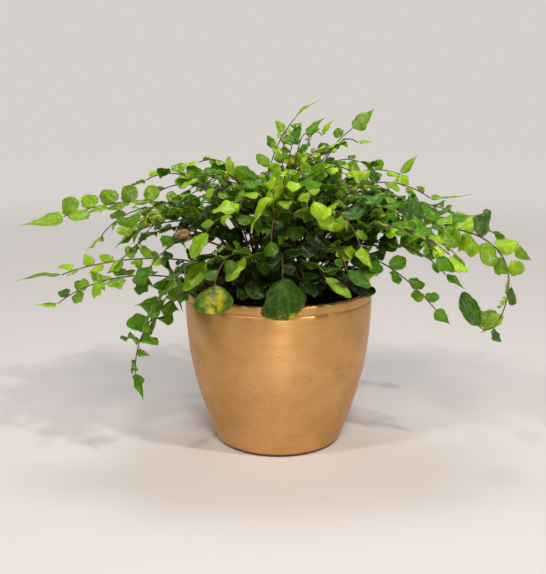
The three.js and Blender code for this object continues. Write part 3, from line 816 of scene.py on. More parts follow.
@dataclass(frozen=True)
class LeafFinish(Finish):
    """Leathery fern leaf with a waxed upper face: a soft gloss, light showing through, paler below.

    The wax gives small bright highlights on a dark face. Thin green flesh lets light glow through, which
    turns leaves against the light yellow-green. Veins are lighter lines, and the thin pale rim is a painted
    rim highlight.
    The real skin's grain is too fine to show, and is drawn as coarse as it needs to break the gloss.
    """

    deep: str
    fresh: str
    backlit: str
    vein: str
    rim: str
    underside: str
    yellowed: str = "#c4b01a"
    withered: str = "#7a4a1c"
    patch_mm: float = 5.0
    grain_mm: float = 0.7
    vein_pairs: float = 6.0
    vein_slant: float = 2.0
    vein_depth: float = 1.2
    relief_mm: float = 0.13
    wax: float = 0.18
    glow_depth_mm: float = 0.8

    def veins(self, tree: NodeTree, along: Socket, off_middle: Node) -> Node:
        """Builds the vein pattern: one line down the middle and slanting pairs of side veins.

        Args:
            tree: The material's node tree.
            along: The place along the leaf, from 0 to 1.
            off_middle: The distance from the middle line, from 0 to 1.

        Returns:
            The node with the strength of the veins.
        """
        pairs = add_node(tree, "Math", {"operation": "MULTIPLY"}, {0: along, 1: self.vein_pairs})
        slope = add_node(tree, "Math", {"operation": "MULTIPLY_ADD"}, {
            0: off_middle, 1: -self.vein_slant, 2: pairs})
        wave = add_node(tree, "Math", {"operation": "MULTIPLY"}, {0: slope, 1: 2 * math.pi})
        ripple = add_node(tree, "Math", {"operation": "COSINE"}, {0: wave})
        side_veins = add_node(tree, "MapRange", None, {
            "Value": ripple, "From Min": 0.5, "From Max": 1.0, "To Max": 0.24})
        middle_vein = add_node(tree, "MapRange", None, {
            "Value": off_middle, "From Min": 0.02, "From Max": 0.1, "To Min": 0.35, "To Max": 0.0})
        return add_node(tree, "Math", {"operation": "MAXIMUM"}, {0: side_veins, 1: middle_vein})

    def surface(self, tree: NodeTree) -> Node:
        """Builds the leaf shader from the values that each leaf's vertices carry.

        Args:
            tree: The material's node tree.

        Returns:
            The shader node.
        """
        place, tone = (add_node(tree, "Attribute", {"attribute_name": name}) for name in (PLACE, TONE))
        along, side, under = add_node(tree, "SeparateXYZ", None, {0: place.outputs["Vector"]}).outputs
        tint, age, tip = add_node(tree, "SeparateXYZ", None, {0: tone.outputs["Vector"]}).outputs
        point = add_node(tree, "TexCoord").outputs["Object"]
        patches, grain = (
            add_node(tree, "TexNoise", None, {
                "Vector": point, "Scale": 1 / (size * MM), "Detail": detail, "Roughness": roughness})
            for size, detail, roughness in ((self.patch_mm, 3.0, 0.6), (self.grain_mm, 2.0, 0.55))
        )
        off_middle = add_node(tree, "Math", {"operation": "ABSOLUTE"}, {0: side})
        veins = self.veins(tree, along, off_middle)
        lively, spots = (
            add_node(tree, "Math", {"operation": "MULTIPLY_ADD"}, {0: source, 1: factor, 2: added})
            for source, factor, added in ((tint, 0.75, 0.25), (age, 0.55, patches.outputs[0]))
        )
        shown_below = add_node(tree, "Math", {"operation": "MULTIPLY_ADD"}, {0: tint, 1: 0.5, 2: 0.15})

        # Each row is a source, the two ends of its range and the strength at each end.
        patchy, painted_rim_highlight, aged, inside, broken, yellow_end, brown_end, gloss = (
            add_node(tree, "MapRange", None, {
                "Value": source, "From Min": start, "From Max": end, "To Min": first, "To Max": last})
            for source, start, end, first, last in (
                (patches, 0.42, 0.7, 0.0, 0.5),
                # The pale rim: a painted rim highlight.
                (off_middle, 0.88, 0.985, 0.0, 0.85),
                (spots, 0.7, 1.08, 0.0, 0.95),
                (off_middle, 0.3, 0.75, 1.0, 0.0),
                (patches, 0.42, 0.58, 0.1, 1.0),
                (along, 0.84, 0.97, 0.0, 0.9),
                (along, 0.96, 1.0, 0.0, 0.5),
                (grain, 0.3, 0.7, 0.24, 0.4),
            )
        )
        at_tip = add_node(tree, "Math", {"operation": "MULTIPLY"}, {0: broken, 1: tip})
        coats = [(tint, self.fresh)] + [
            (add_node(tree, "Math", {"operation": "MULTIPLY"}, {0: strength, 1: share}), colour)
            for strength, share, colour in (
                (patchy, lively, self.backlit),
                (veins, lively, self.vein),
                # The pale rim coat is a painted rim highlight.
                (painted_rim_highlight, lively, self.rim),
                (under, shown_below, self.underside),
                (aged, inside, self.yellowed),
                (yellow_end, at_tip, self.yellowed),
                (brown_end, at_tip, self.withered),
            )
        ]
        relief = add_node(tree, "Math", {"operation": "MULTIPLY_ADD"}, {
            0: veins, 1: -self.vein_depth, 2: grain})
        bump = add_node(tree, "Bump", None, {
            "Strength": 0.5, "Distance": self.relief_mm * MM, "Height": relief})
        return add_node(tree, "BsdfPrincipled", {"subsurface_method": "RANDOM_WALK"}, {
            "Base Color": coated(tree, self.deep, coats),
            "Roughness": gloss,
            "IOR": 1.45,
            "Specular IOR Level": self.wax,
            "Subsurface Weight": 0.5,
            "Subsurface Radius": (0.5, 1.0, 0.06),
            "Subsurface Scale": self.glow_depth_mm * MM,
            "Normal": bump,
        })


@dataclass(frozen=True)
class StemFinish(Finish):
    """Wiry fern stem with a hard polished skin: nearly black at the root and reddish brown at the tip.

    The hard skin gives a thin bright line along a dark stem, broken by short rusty hairs.
    """

    root: str = "#120b07"
    middle: str = "#2a170d"
    tip: str = "#56331f"
    hair: str = "#6c482d"
    streak_mm: float = 1.5
    relief_mm: float = 0.08

    def surface(self, tree: NodeTree) -> Node:
        """Builds the stem shader.

        Args:
            tree: The material's node tree.

        Returns:
            The shader node.
        """
        place = add_node(tree, "Attribute", {"attribute_name": PLACE})
        run, hairy, _ = add_node(tree, "SeparateXYZ", None, {0: place.outputs["Vector"]}).outputs
        streaks = add_node(tree, "TexNoise", None, {
            "Vector": add_node(tree, "TexCoord").outputs["Object"],
            "Scale": 1 / (self.streak_mm * MM), "Detail": 2.0})

        # Each row is a source, the two ends of its range and the strength at each end.
        low, high, uneven, gloss = (
            add_node(tree, "MapRange", None, {
                "Value": source, "From Min": start, "From Max": end, "To Min": first, "To Max": last})
            for source, start, end, first, last in (
                (run, 0.1, 0.6, 0.0, 1.0),
                (run, 0.6, 1.0, 0.0, 1.0),
                (streaks, 0.45, 0.75, 0.0, 0.35),
                (streaks, 0.3, 0.7, 0.3, 0.5),
            )
        )
        coats = [(low, self.middle), (high, self.tip), (hairy, self.hair), (uneven, self.hair)]
        bump = add_node(tree, "Bump", None, {
            "Strength": 0.5, "Distance": self.relief_mm * MM, "Height": streaks})
        return add_node(tree, "BsdfPrincipled", None, {
            "Base Color": coated(tree, self.root, coats), "Roughness": gloss, "IOR": 1.5, "Normal": bump})


@dataclass(frozen=True)
class GoldGlazeFinish(Finish):
    """Glazed earthenware with a satin metallic gold lustre, thrown on a wheel and fired.

    The lustre gives broad soft reflections of warm gold, which the fine level lines left by the wheel draw
    out into upright bands. It lies unevenly, in cloudy patches and streaks, with a few dark pits where the
    glaze broke. Painted shade darkens the gold towards the rim, and a dark ring at the foot's edge is a
    painted contact shadow. flaws are the pits that show plainly: each one's place and size in millimetres.
    """

    gold: str = "#d2a368"
    shade: str = "#b58749"
    pale: str = "#e0b680"
    pit: str = "#5a3c1e"
    # The dark ring at the foot's edge is a painted contact shadow.
    bare: str = "#2a1b10"
    contact_shadow_mm: float = 1.3
    contact_shadow_fading: float = 2.5
    # Heights between which painted shade darkens the gold towards the rim.
    rim_shade_mm: Pair = (70.0, 112.0)
    cloud_mm: float = 30.0
    streak_mm: float = 1.6
    streak_stretch: float = 18.0
    grit_mm: float = 0.9
    relief_mm: float = 0.12
    pit_spacing_mm: float = 9.0
    pits_left_out: float = 0.72
    pit_core: float = 0.3
    pit_fading: float = 1.1
    ragged_mm: float = 2.4
    flaws: tuple[tuple[float, float, float, float], ...] = (
        (21.4, -62.4, 63.2, 0.8), (2.0, -68.2, 80.1, 0.9), (0.7, -68.4, 82.4, 0.6),
        (17.3, -63.4, 61.3, 0.55), (14.1, -63.7, 58.7, 0.6), (11.0, -64.6, 60.5, 0.45),
        (44.3, -41.2, 38.5, 0.7), (41.7, -56.2, 115.2, 0.8), (46.9, -52.0, 115.6, 1.0),
        (50.0, -48.9, 115.4, 0.6), (53.0, -45.7, 116.2, 0.9), (65.0, -24.2, 95.2, 0.6),
    )

    def pits(self, tree: NodeTree, point: Socket, grit: Node) -> Node:
        """Builds the dark pits: faint strewn ones, and the plain ones with ragged edges.

        Args:
            tree: The material's node tree.
            point: The place on the pot.
            grit: The fine pattern that frays the edges.

        Returns:
            The node with the strength of the pits.
        """
        cells = add_node(tree, "TexVoronoi", {"feature": "F1"}, {
            "Vector": point, "Scale": 1 / (self.pit_spacing_mm * MM)})
        near = add_node(tree, "MapRange", None, {
            "Value": cells, "From Min": 0.02, "From Max": 0.05, "To Min": 0.7, "To Max": 0.0})
        chance = add_node(tree, "SeparateColor", None, {0: cells.outputs["Color"]})
        chosen = add_node(tree, "Math", {"operation": "GREATER_THAN"}, {0: chance, 1: self.pits_left_out})
        shown = add_node(tree, "Math", {"operation": "MULTIPLY"}, {0: near, 1: chosen})
        ragged = add_node(tree, "VectorMath", {"operation": "MULTIPLY_ADD"}, {
            0: grit.outputs["Color"], 1: (self.ragged_mm * MM,) * 3, 2: point})
        for *place, size in self.flaws:
            gap = add_node(tree, "VectorMath", {"operation": "DISTANCE"}, {
                0: ragged, 1: tuple((c + self.ragged_mm / 2) * MM for c in place)})
            mark = add_node(tree, "MapRange", None, {
                "Value": gap.outputs["Value"], "From Min": size * self.pit_core * MM,
                "From Max": size * self.pit_fading * MM, "To Min": 0.75, "To Max": 0.0})
            shown = add_node(tree, "Math", {"operation": "MAXIMUM"}, {0: shown, 1: mark})
        return shown

    def surface(self, tree: NodeTree) -> Node:
        """Builds the glaze shader.

        Args:
            tree: The material's node tree.

        Returns:
            The shader node.
        """
        point = add_node(tree, "TexCoord").outputs["Object"]
        level = 1 / self.streak_stretch
        flat = add_node(tree, "Mapping", None, {"Vector": point, "Scale": (level, level, 1.0)})
        clouds, streaks, grit = (
            add_node(tree, "TexNoise", None, {
                "Vector": source, "Scale": 1 / (size * MM), "Detail": detail, "Roughness": roughness})
            for source, size, detail, roughness in (
                (point, self.cloud_mm, 4.0, 0.55),
                (flat, self.streak_mm, 3.0, 0.6),
                (point, self.grit_mm, 2.0, 0.5),
            )
        )
        pits = self.pits(tree, point, grit)
        height = add_node(tree, "SeparateXYZ", None, {0: point}).outputs[2]
        low, high = (edge * MM for edge in self.rim_shade_mm)

        # Each row is the kind of change, a source, the two ends of its range and the strength at each end.
        painted_rim_shade, cloudy, streaky, gritty, foot, gloss = (
            add_node(tree, "MapRange", {"interpolation_type": way}, {
                "Value": source, "From Min": start, "From Max": end, "To Min": first, "To Max": last})
            for way, source, start, end, first, last in (
                # Painted shade: the gold darkens towards the rim.
                ("SMOOTHSTEP", height, low, high, 0.0, 0.45),
                ("LINEAR", clouds, 0.42, 0.68, 0.0, 0.6),
                ("LINEAR", streaks, 0.5, 0.72, 0.0, 0.25),
                ("LINEAR", grit, 0.54, 0.68, 0.0, 0.5),
                # Painted contact shadow: a dark ring at the foot's edge.
                ("LINEAR", height, self.contact_shadow_mm * MM, self.contact_shadow_mm * self.contact_shadow_fading * MM, 0.9, 0.0),
                ("LINEAR", clouds, 0.3, 0.7, 0.4, 0.48),
            )
        )
        coats = [
            # The first coat is painted shade towards the rim.
            (painted_rim_shade, self.shade), (cloudy, self.shade), (streaky, self.pale), (gritty, self.shade),
            # The last coat is the painted contact shadow at the foot.
            (pits, self.pit), (foot, self.bare),
        ]
        lines = add_node(tree, "Math", {"operation": "MULTIPLY_ADD"}, {0: streaks, 1: 0.5, 2: grit})
        relief = add_node(tree, "Math", {"operation": "SUBTRACT"}, {0: lines, 1: pits})
        bump = add_node(tree, "Bump", None, {
            "Strength": 0.25, "Distance": self.relief_mm * MM, "Height": relief})
        return add_node(tree, "BsdfPrincipled", None, {
            "Base Color": coated(tree, self.gold, coats),
            "Metallic": 0.9,
            "Roughness": gloss,
            "Anisotropic": 0.55,
            "Anisotropic Rotation": 0.25,
            "Normal": bump,
        })


@dataclass(frozen=True)
class PottingSoilFinish(Finish):
    """Dark peat potting soil, sieved and watered: dull black-brown crumbs with lighter fibres."""

    wet: str = "#100a06"
    dry: str = "#2e1f14"
    fibre: str = "#55391f"
    crumb_mm: float = 2.2
    fleck_mm: float = 0.8
    relief_mm: float = 0.6

    def surface(self, tree: NodeTree) -> Node:
        """Builds the soil shader.

        Args:
            tree: The material's node tree.

        Returns:
            The shader node.
        """
        point = add_node(tree, "TexCoord").outputs["Object"]
        crumbs, flecks = (
            add_node(tree, "TexNoise", None, {
                "Vector": point, "Scale": 1 / (size * MM), "Detail": detail, "Roughness": roughness})
            for size, detail, roughness in ((self.crumb_mm, 5.0, 0.65), (self.fleck_mm, 2.0, 0.5))
        )
        dry, light = (
            add_node(tree, "MapRange", None, {
                "Value": source, "From Min": start, "From Max": end, "To Max": most})
            for source, start, end, most in ((crumbs, 0.4, 0.7, 1.0), (flecks, 0.62, 0.75, 0.7))
        )
        bump = add_node(tree, "Bump", None, {
            "Strength": 0.8, "Distance": self.relief_mm * MM, "Height": crumbs})
        return add_node(tree, "BsdfPrincipled", None, {
            "Base Color": coated(tree, self.wet, [(dry, self.dry), (light, self.fibre)]),
            "Roughness": 0.92, "IOR": 1.4, "Normal": bump})


@dataclass(frozen=True)
class FloorFinish(Finish):
    """Matt cream studio floor that fades into the backdrop's grey far from the object, in metres."""

    cream: str = "#d8cfc8"
    fade_start: float = 0.25
    fade_end: float = 2.0

    def surface(self, tree: NodeTree) -> Node:
        """Builds the floor shader.

        Args:
            tree: The material's node tree.

        Returns:
            The shader node.
        """
        point = add_node(tree, "TexCoord").outputs["Object"]
        reach = add_node(tree, "VectorMath", {"operation": "LENGTH"}, {0: point})
        fade = add_node(tree, "MapRange", {"interpolation_type": "SMOOTHSTEP"}, {
            "Value": reach.outputs["Value"], "From Min": self.fade_start, "From Max": self.fade_end})
        floor = add_node(tree, "BsdfPrincipled", None, {
            "Base Color": linear(self.cream), "Roughness": 0.8, "Specular IOR Level": 0.2})
        clear = add_node(tree, "BsdfTransparent")
        return add_node(tree, "MixShader", None, {0: fade, 1: floor, 2: clear})


FINISHES = {
    Tone.LIGHT: LeafFinish(
        "fern_leaf_fresh", deep="#234c05", fresh="#8cb40e", backlit="#b8d61e", vein="#aeca48",
        rim="#b0c868", underside="#749e2c", wax=0.28),
    Tone.DARK: LeafFinish(
        "fern_leaf_mature", deep="#0a1703", fresh="#4b7c0a", backlit="#689c12", vein="#5c8e28",
        rim="#74985a", underside="#446a18"),
}
STEM_SKIN = StemFinish("fern_stem_skin")

# The rolled frond's papery scales and dry root fibres are paler than the stems and hide their gloss.
YOUNG_SCALES = StemFinish(
    "young_frond_scales", root="#4a2f1a", middle="#6d4a2a", tip="#a07a4a", hair="#c8a67a")
ROOT_SKIN = StemFinish("root_fibre_skin", root="#4a3220", middle="#5e4229", tip="#7a5a3a", hair="#8a6a48")

GOLD_GLAZE = GoldGlazeFinish("gold_lustre_glaze")
POTTING_SOIL = PottingSoilFinish("peat_potting_soil")
STUDIO_FLOOR = FloorFinish("studio_floor")


class MeshWork:
    """Collects closed forms in millimetres and makes one piece of them."""

    def __init__(self) -> None:
        """Starts with nothing."""
        self.points: list[np.ndarray] = []
        self.faces: list[np.ndarray] = []
        self.kinds: list[np.ndarray] = []
        self.values: dict[str, list[np.ndarray]] = {PLACE: [], TONE: []}
        self.count = 0

    def add(self, points: np.ndarray, faces: np.ndarray, kind: int = 0,
            places: np.ndarray | None = None, tone: Triple = (0, 0, 0)) -> None:
        """Adds one closed form.

        Args:
            points: Its vertices, one row each.
            faces: Its faces as rows of four vertex numbers, with a repeated last number for a triangle.
            kind: Which of the piece's finishes it takes.
            places: Three values for each vertex that the finish reads.
            tone: Three values for the whole form that the finish reads.
        """
        self.points.append(points)
        self.faces.append(faces + self.count)
        self.kinds.append(np.full(len(faces), kind))
        self.values[PLACE].append(np.zeros((len(points), 3)) if places is None else places)
        self.values[TONE].append(np.tile(tone, (len(points), 1)))
        self.count += len(points)

    def make(self, name: str, finishes: list[Finish], node: str | None = None) -> None:
        """Makes the piece at the origin, riding on the root body, and reports it.

        Args:
            name: The piece's name.
            finishes: Its finishes, in the order of the kinds.
            node: The part's node that it stands for, if it has one.
        """
        faces = [tuple(dict.fromkeys(face)) for face in np.concatenate(self.faces).tolist()]
        mesh = bpy.data.meshes.new(name)
        mesh.from_pydata((np.concatenate(self.points) * MM).tolist(), [], faces)
        mesh.polygons.foreach_set("use_smooth", np.ones(len(faces), bool))
        mesh.polygons.foreach_set("material_index", np.concatenate(self.kinds).astype(np.int32))
        for label, values in self.values.items():
            attribute = mesh.attributes.new(label, "FLOAT_VECTOR", "POINT")
            attribute.data.foreach_set("vector", np.concatenate(values).astype(np.float32).ravel())
        for finish in finishes:
            mesh.materials.append(finish.material())
        mesh.update()
        piece = bpy.data.objects.new(name, mesh)
        bpy.context.scene.collection.objects.link(piece)
        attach(piece, "root")
        if node is not None:
            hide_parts(node)
        LOG.info("%s: %d forms, %d faces", name, len(self.points), len(faces))


def sleeve_faces(rings: int, sides: int) -> np.ndarray:
    """Lists the faces of a closed sleeve of rings with a fan on each end.

    Args:
        rings: The number of rings.
        sides: The number of vertices in a ring.

    Returns:
        Rows of four vertex numbers. The two end points come after all rings.
    """
    ring = np.arange(rings - 1)[:, None] * sides
    side = np.arange(sides)
    following = (side + 1) % sides
    walls = np.stack([
        ring + side, ring + following, ring + sides + following, ring + sides + side], -1).reshape(-1, 4)
    start, end = np.full(sides, rings * sides), np.full(sides, rings * sides + 1)
    last = (rings - 1) * sides
    first_fan = np.stack([following, side, start, start], -1)
    last_fan = np.stack([last + side, last + following, end, end], -1)
    return np.concatenate([walls, first_fan, last_fan])


@dataclass
class BladeShaper:
    """Shapes fine leaf blades: thin closed forms with a stalk, waves, folds and a rim that rolls under.

    Lengths are in millimetres, twist in degrees and the rest are shares of the leaf's width or length.
    lanes are the places across the blade that its vertices stand at. The spreads are the least and largest
    of an even draw, or the middle and width of a bell-shaped one.
    """

    steps: int = 18
    toothed_steps: int = 56
    steps_per_scallop: int = 3
    scallop: float = 0.07
    scallop_fading: float = 12.0
    quilting: float = 0.036
    lanes: tuple[float, ...] = (-1.0, -0.9, -0.6, -0.28, 0.0, 0.28, 0.6, 0.9, 1.0)
    thickness: float = 0.42
    rim_thinning: float = 0.6
    stalk_length: float = 1.3
    stalk_radius: float = 0.28
    wave: float = 0.1
    fold: float = 0.09
    cupping: float = 0.10
    roll: float = 0.07
    curl: float = 0.10
    twist: float = 24.0
    wobble: float = 0.06
    wobbles: float = 1.9
    wobble_shift: float = 1.4
    groove: float = 0.16
    groove_width: float = 0.45
    groove_below: float = 0.6
    tooth_count: float = 14.0
    teeth_start: float = 0.35
    teeth_rise: float = 4.0
    lobe: float = 0.05
    strength_spread: Pair = (0.5, 1.5)
    waves_spread: Pair = (1.0, 2.4)
    fold_spread: Pair = (0.3, 0.9)
    cupping_spread: Pair = (0.2, 1.0)
    curl_spread: Pair = (0.4, 1.0)
    bend_spread: Pair = (0.0, 0.04)

    def add(self, work: MeshWork, leaf: Leaflet, chance: np.random.Generator,
            tone: Triple, crumple: float) -> None:
        """Adds one fine blade to the work.

        Args:
            work: Where the blade goes.
            leaf: The leaflet's place, directions and size.
            chance: The source of the blade's own irregularities.
            tone: Tint, age and browning that the finish reads.
            crumple: How strong the blade's irregularities are.
        """
        shape = OUTLINES[leaf.form]
        share = np.linspace(0, 1, (self.toothed_steps if shape.teeth else self.steps) + 1)[:, None]
        u = share if shape.teeth else (1 - np.cos(np.pi * share)) / 2
        fading = np.clip(u * (1 - u) * self.scallop_fading, 0, 1)
        valley = (np.arange(len(u)) % self.steps_per_scallop == 0)[:, None] * fading
        top = np.array(self.lanes)
        ring = np.concatenate([top, top[-2:0:-1]])[None, :]
        upper = np.concatenate([np.ones(len(top)), -np.ones(len(top) - 2)])[None, :]
        stalk = self.stalk_length / leaf.length
        edge = shape.edge(np.clip((u - stalk) / (1 - stalk), 0, 1))
        strength = crumple * chance.uniform(*self.strength_spread)
        phase = chance.uniform(0, 2 * np.pi, 4)

        # The outline across the blade.
        waver = np.sin(2 * np.pi * self.wobbles * u + phase[0] + self.wobble_shift * ring)
        wobble = 1 + self.wobble * strength * waver
        notch = (u * self.tooth_count) % 1 - 0.5
        wobble = wobble + shape.teeth * notch * np.clip((u - self.teeth_start) * self.teeth_rise, 0, 1)
        wobble = wobble - self.scallop * valley * (not shape.teeth)
        across = ring * np.maximum(leaf.width / 2 * edge * wobble, self.stalk_radius)

        # The height of the blade's middle layer: waves, fold, cup, rolled rim, quilting, curl and sag.
        waves = self.wave * leaf.width * strength * ring**2 * edge
        side_phase = np.where(ring < 0, phase[1], phase[2])
        height = waves * np.sin(2 * np.pi * chance.uniform(*self.waves_spread) * u + side_phase)
        height = height + leaf.width * chance.normal(*self.fold_spread) * self.fold * np.abs(ring) * edge
        cup = chance.normal(*self.cupping_spread) * self.cupping * strength
        height = height - leaf.width * cup * ring**2 * edge
        height = height - leaf.width * self.roll * ring**6 * edge
        height = height - leaf.width * self.quilting * valley * np.abs(ring) * edge
        height = height - leaf.length * chance.normal(*self.curl_spread) * self.curl * strength * u**2
        height = height - shape.sag * leaf.length * u**2 - shape.cup * leaf.width * ring**2 * edge
        groove = self.groove * np.exp(-((across / self.groove_width) ** 2)) * edge
        height = height - np.where(upper > 0, groove, -self.groove_below * groove)

        # The twist towards the tip, the thickness and a bend to one side.
        turn = np.radians(chance.normal(0, self.twist) * strength) * u
        level = across * np.cos(turn) - height * np.sin(turn)
        height = across * np.sin(turn) + height * np.cos(turn)
        thinned = (1 - self.rim_thinning * ring**2) * (np.abs(ring) < 1)
        height = height + upper * self.thickness / 2 * thinned
        across = level + leaf.length * chance.normal(*self.bend_spread) * np.sin(np.pi * u / 2)
        lobes = self.lobe * leaf.length * ring**2 * (1 - u) ** 3 * (leaf.form is not LANCE)
        forward = u * leaf.length - lobes * np.minimum(edge * 2, 1)
        grid = (
            leaf.root + forward[..., None] * leaf.direction + across[..., None] * leaf.across
            + height[..., None] * leaf.face
        )
        ends = np.stack([grid[0].mean(0), grid[-1].mean(0)])
        places = np.stack(np.broadcast_arrays(share, ring, (1 - upper) / 2), -1).reshape(-1, 3)
        places = np.concatenate([places, [[0, 0, 0], [1, 0, 0]]])
        faces = sleeve_faces(len(u), ring.shape[1])
        work.add(np.concatenate([grid.reshape(-1, 3), ends]), faces, 0, places, tone)


def crossways(points: np.ndarray, side: np.ndarray) -> tuple[np.ndarray, np.ndarray]:
    """Gives two directions square to a line and to each other, at each of its points.

    Args:
        points: The line's points.
        side: The direction across the line that the first of the two stays nearest to.

    Returns:
        The two directions, one row for each point.
    """
    tangents = np.gradient(points, axis=0)
    tangents /= np.linalg.norm(tangents, axis=1)[:, None]
    level = side - tangents * (tangents @ side)[:, None]
    level /= np.linalg.norm(level, axis=1)[:, None]
    return level, np.cross(tangents, level)


@dataclass
class WiryStem:
    """A closed tube along a line of points, with short stiff hairs, in millimetres.

    side is a direction across the line that the tube's rings start from, and hair_values are what the finish
    reads at a hair.
    """

    points: np.ndarray
    radii: np.ndarray
    side: np.ndarray
    sides: int
    hair_width: float = 0.07
    hair_root: float = 0.6
    hair_lean: Pair = (0.2, 1.2)
    shortest_hair: float = 0.4
    hair_values: Triple = (0.8, 1.0, 0.0)

    def add(self, work: MeshWork, kind: int, run: np.ndarray | None = None) -> None:
        """Adds the tube to the work.

        Args:
            work: Where the tube goes.
            kind: Which of the piece's finishes it takes.
            run: The place along the stem at each point that the finish reads, from 0 to 1.
        """
        level, upward = crossways(self.points, self.side)
        angles = all_round(self.sides)
        circle = np.cos(angles)[:, None] * level[:, None] + np.sin(angles)[:, None] * upward[:, None]
        rings = self.points[:, None] + self.radii[:, None, None] * circle
        vertices = np.concatenate([rings.reshape(-1, 3), self.points[:1], self.points[-1:]])
        places = np.zeros((len(vertices), 3))
        if run is not None:
            places[:-2, 0] = np.repeat(run, self.sides)
            places[-1, 0] = 1
        work.add(vertices, sleeve_faces(len(self.points), self.sides), kind, places)

    def add_hairs(self, work: MeshWork, spacing: float, length: float, chance: np.random.Generator,
                  kind: int) -> None:
        """Adds hairs all along the stem, each a closed needle.

        Args:
            work: Where the hairs go.
            spacing: The stem's length for each hair.
            length: The longest hair.
            chance: The source of their places and angles.
            kind: Which of the piece's finishes they take.
        """
        points = self.points
        level, upward = crossways(points, self.side)
        tangents = np.cross(level, upward)
        count = int(np.linalg.norm(np.diff(points, axis=0), axis=1).sum() / spacing)
        where = chance.integers(1, len(points) - 1, count)
        angle = chance.uniform(0, 2 * np.pi, count)[:, None]
        out = np.cos(angle) * level[where] + np.sin(angle) * upward[where]
        beside = np.cross(tangents[where], out)
        step = (points[where + 1] - points[where]) * chance.uniform(-0.5, 0.5, count)[:, None]
        foot = points[where] + step + out * self.radii[where][:, None] * self.hair_root
        lean = chance.uniform(*self.hair_lean, count)[:, None]
        reach = length * chance.uniform(self.shortest_hair, 1.0, count)[:, None]
        tip = foot + (out + lean * tangents[where]) / np.sqrt(1 + lean**2) * reach
        wide = beside * self.hair_width
        deep = tangents[where] * self.hair_width
        corners = np.stack([foot + wide, foot - wide / 2 + deep, foot - wide / 2 - deep, tip], 1)
        needle = np.array([[0, 1, 3, 3], [1, 2, 3, 3], [2, 0, 3, 3], [0, 2, 1, 1]])
        faces = (np.arange(count)[:, None, None] * len(needle) + needle).reshape(-1, 4)
        work.add(corners.reshape(-1, 3), faces, kind, np.tile(self.hair_values, (len(needle) * count, 1)))


def turned_form(angles: np.ndarray, out: np.ndarray, height: np.ndarray,
                ends: Pair) -> tuple[np.ndarray, np.ndarray]:
    """Makes the closed form that a profile sweeps round the upright axis, from one end on it to the other.

    Args:
        angles: The angles that the profile stands at.
        out: The distance from the axis for each point and angle.
        height: The height for each point and angle.
        ends: The heights of the two points on the axis.

    Returns:
        The vertices, with the two on the axis last, and the faces.
    """
    rings = np.stack(np.broadcast_arrays(out * np.cos(angles), out * np.sin(angles), height), -1)
    points = np.concatenate([rings.reshape(-1, 3), [(0, 0, ends[0]), (0, 0, ends[1])]])
    return points, sleeve_faces(len(out), len(angles))


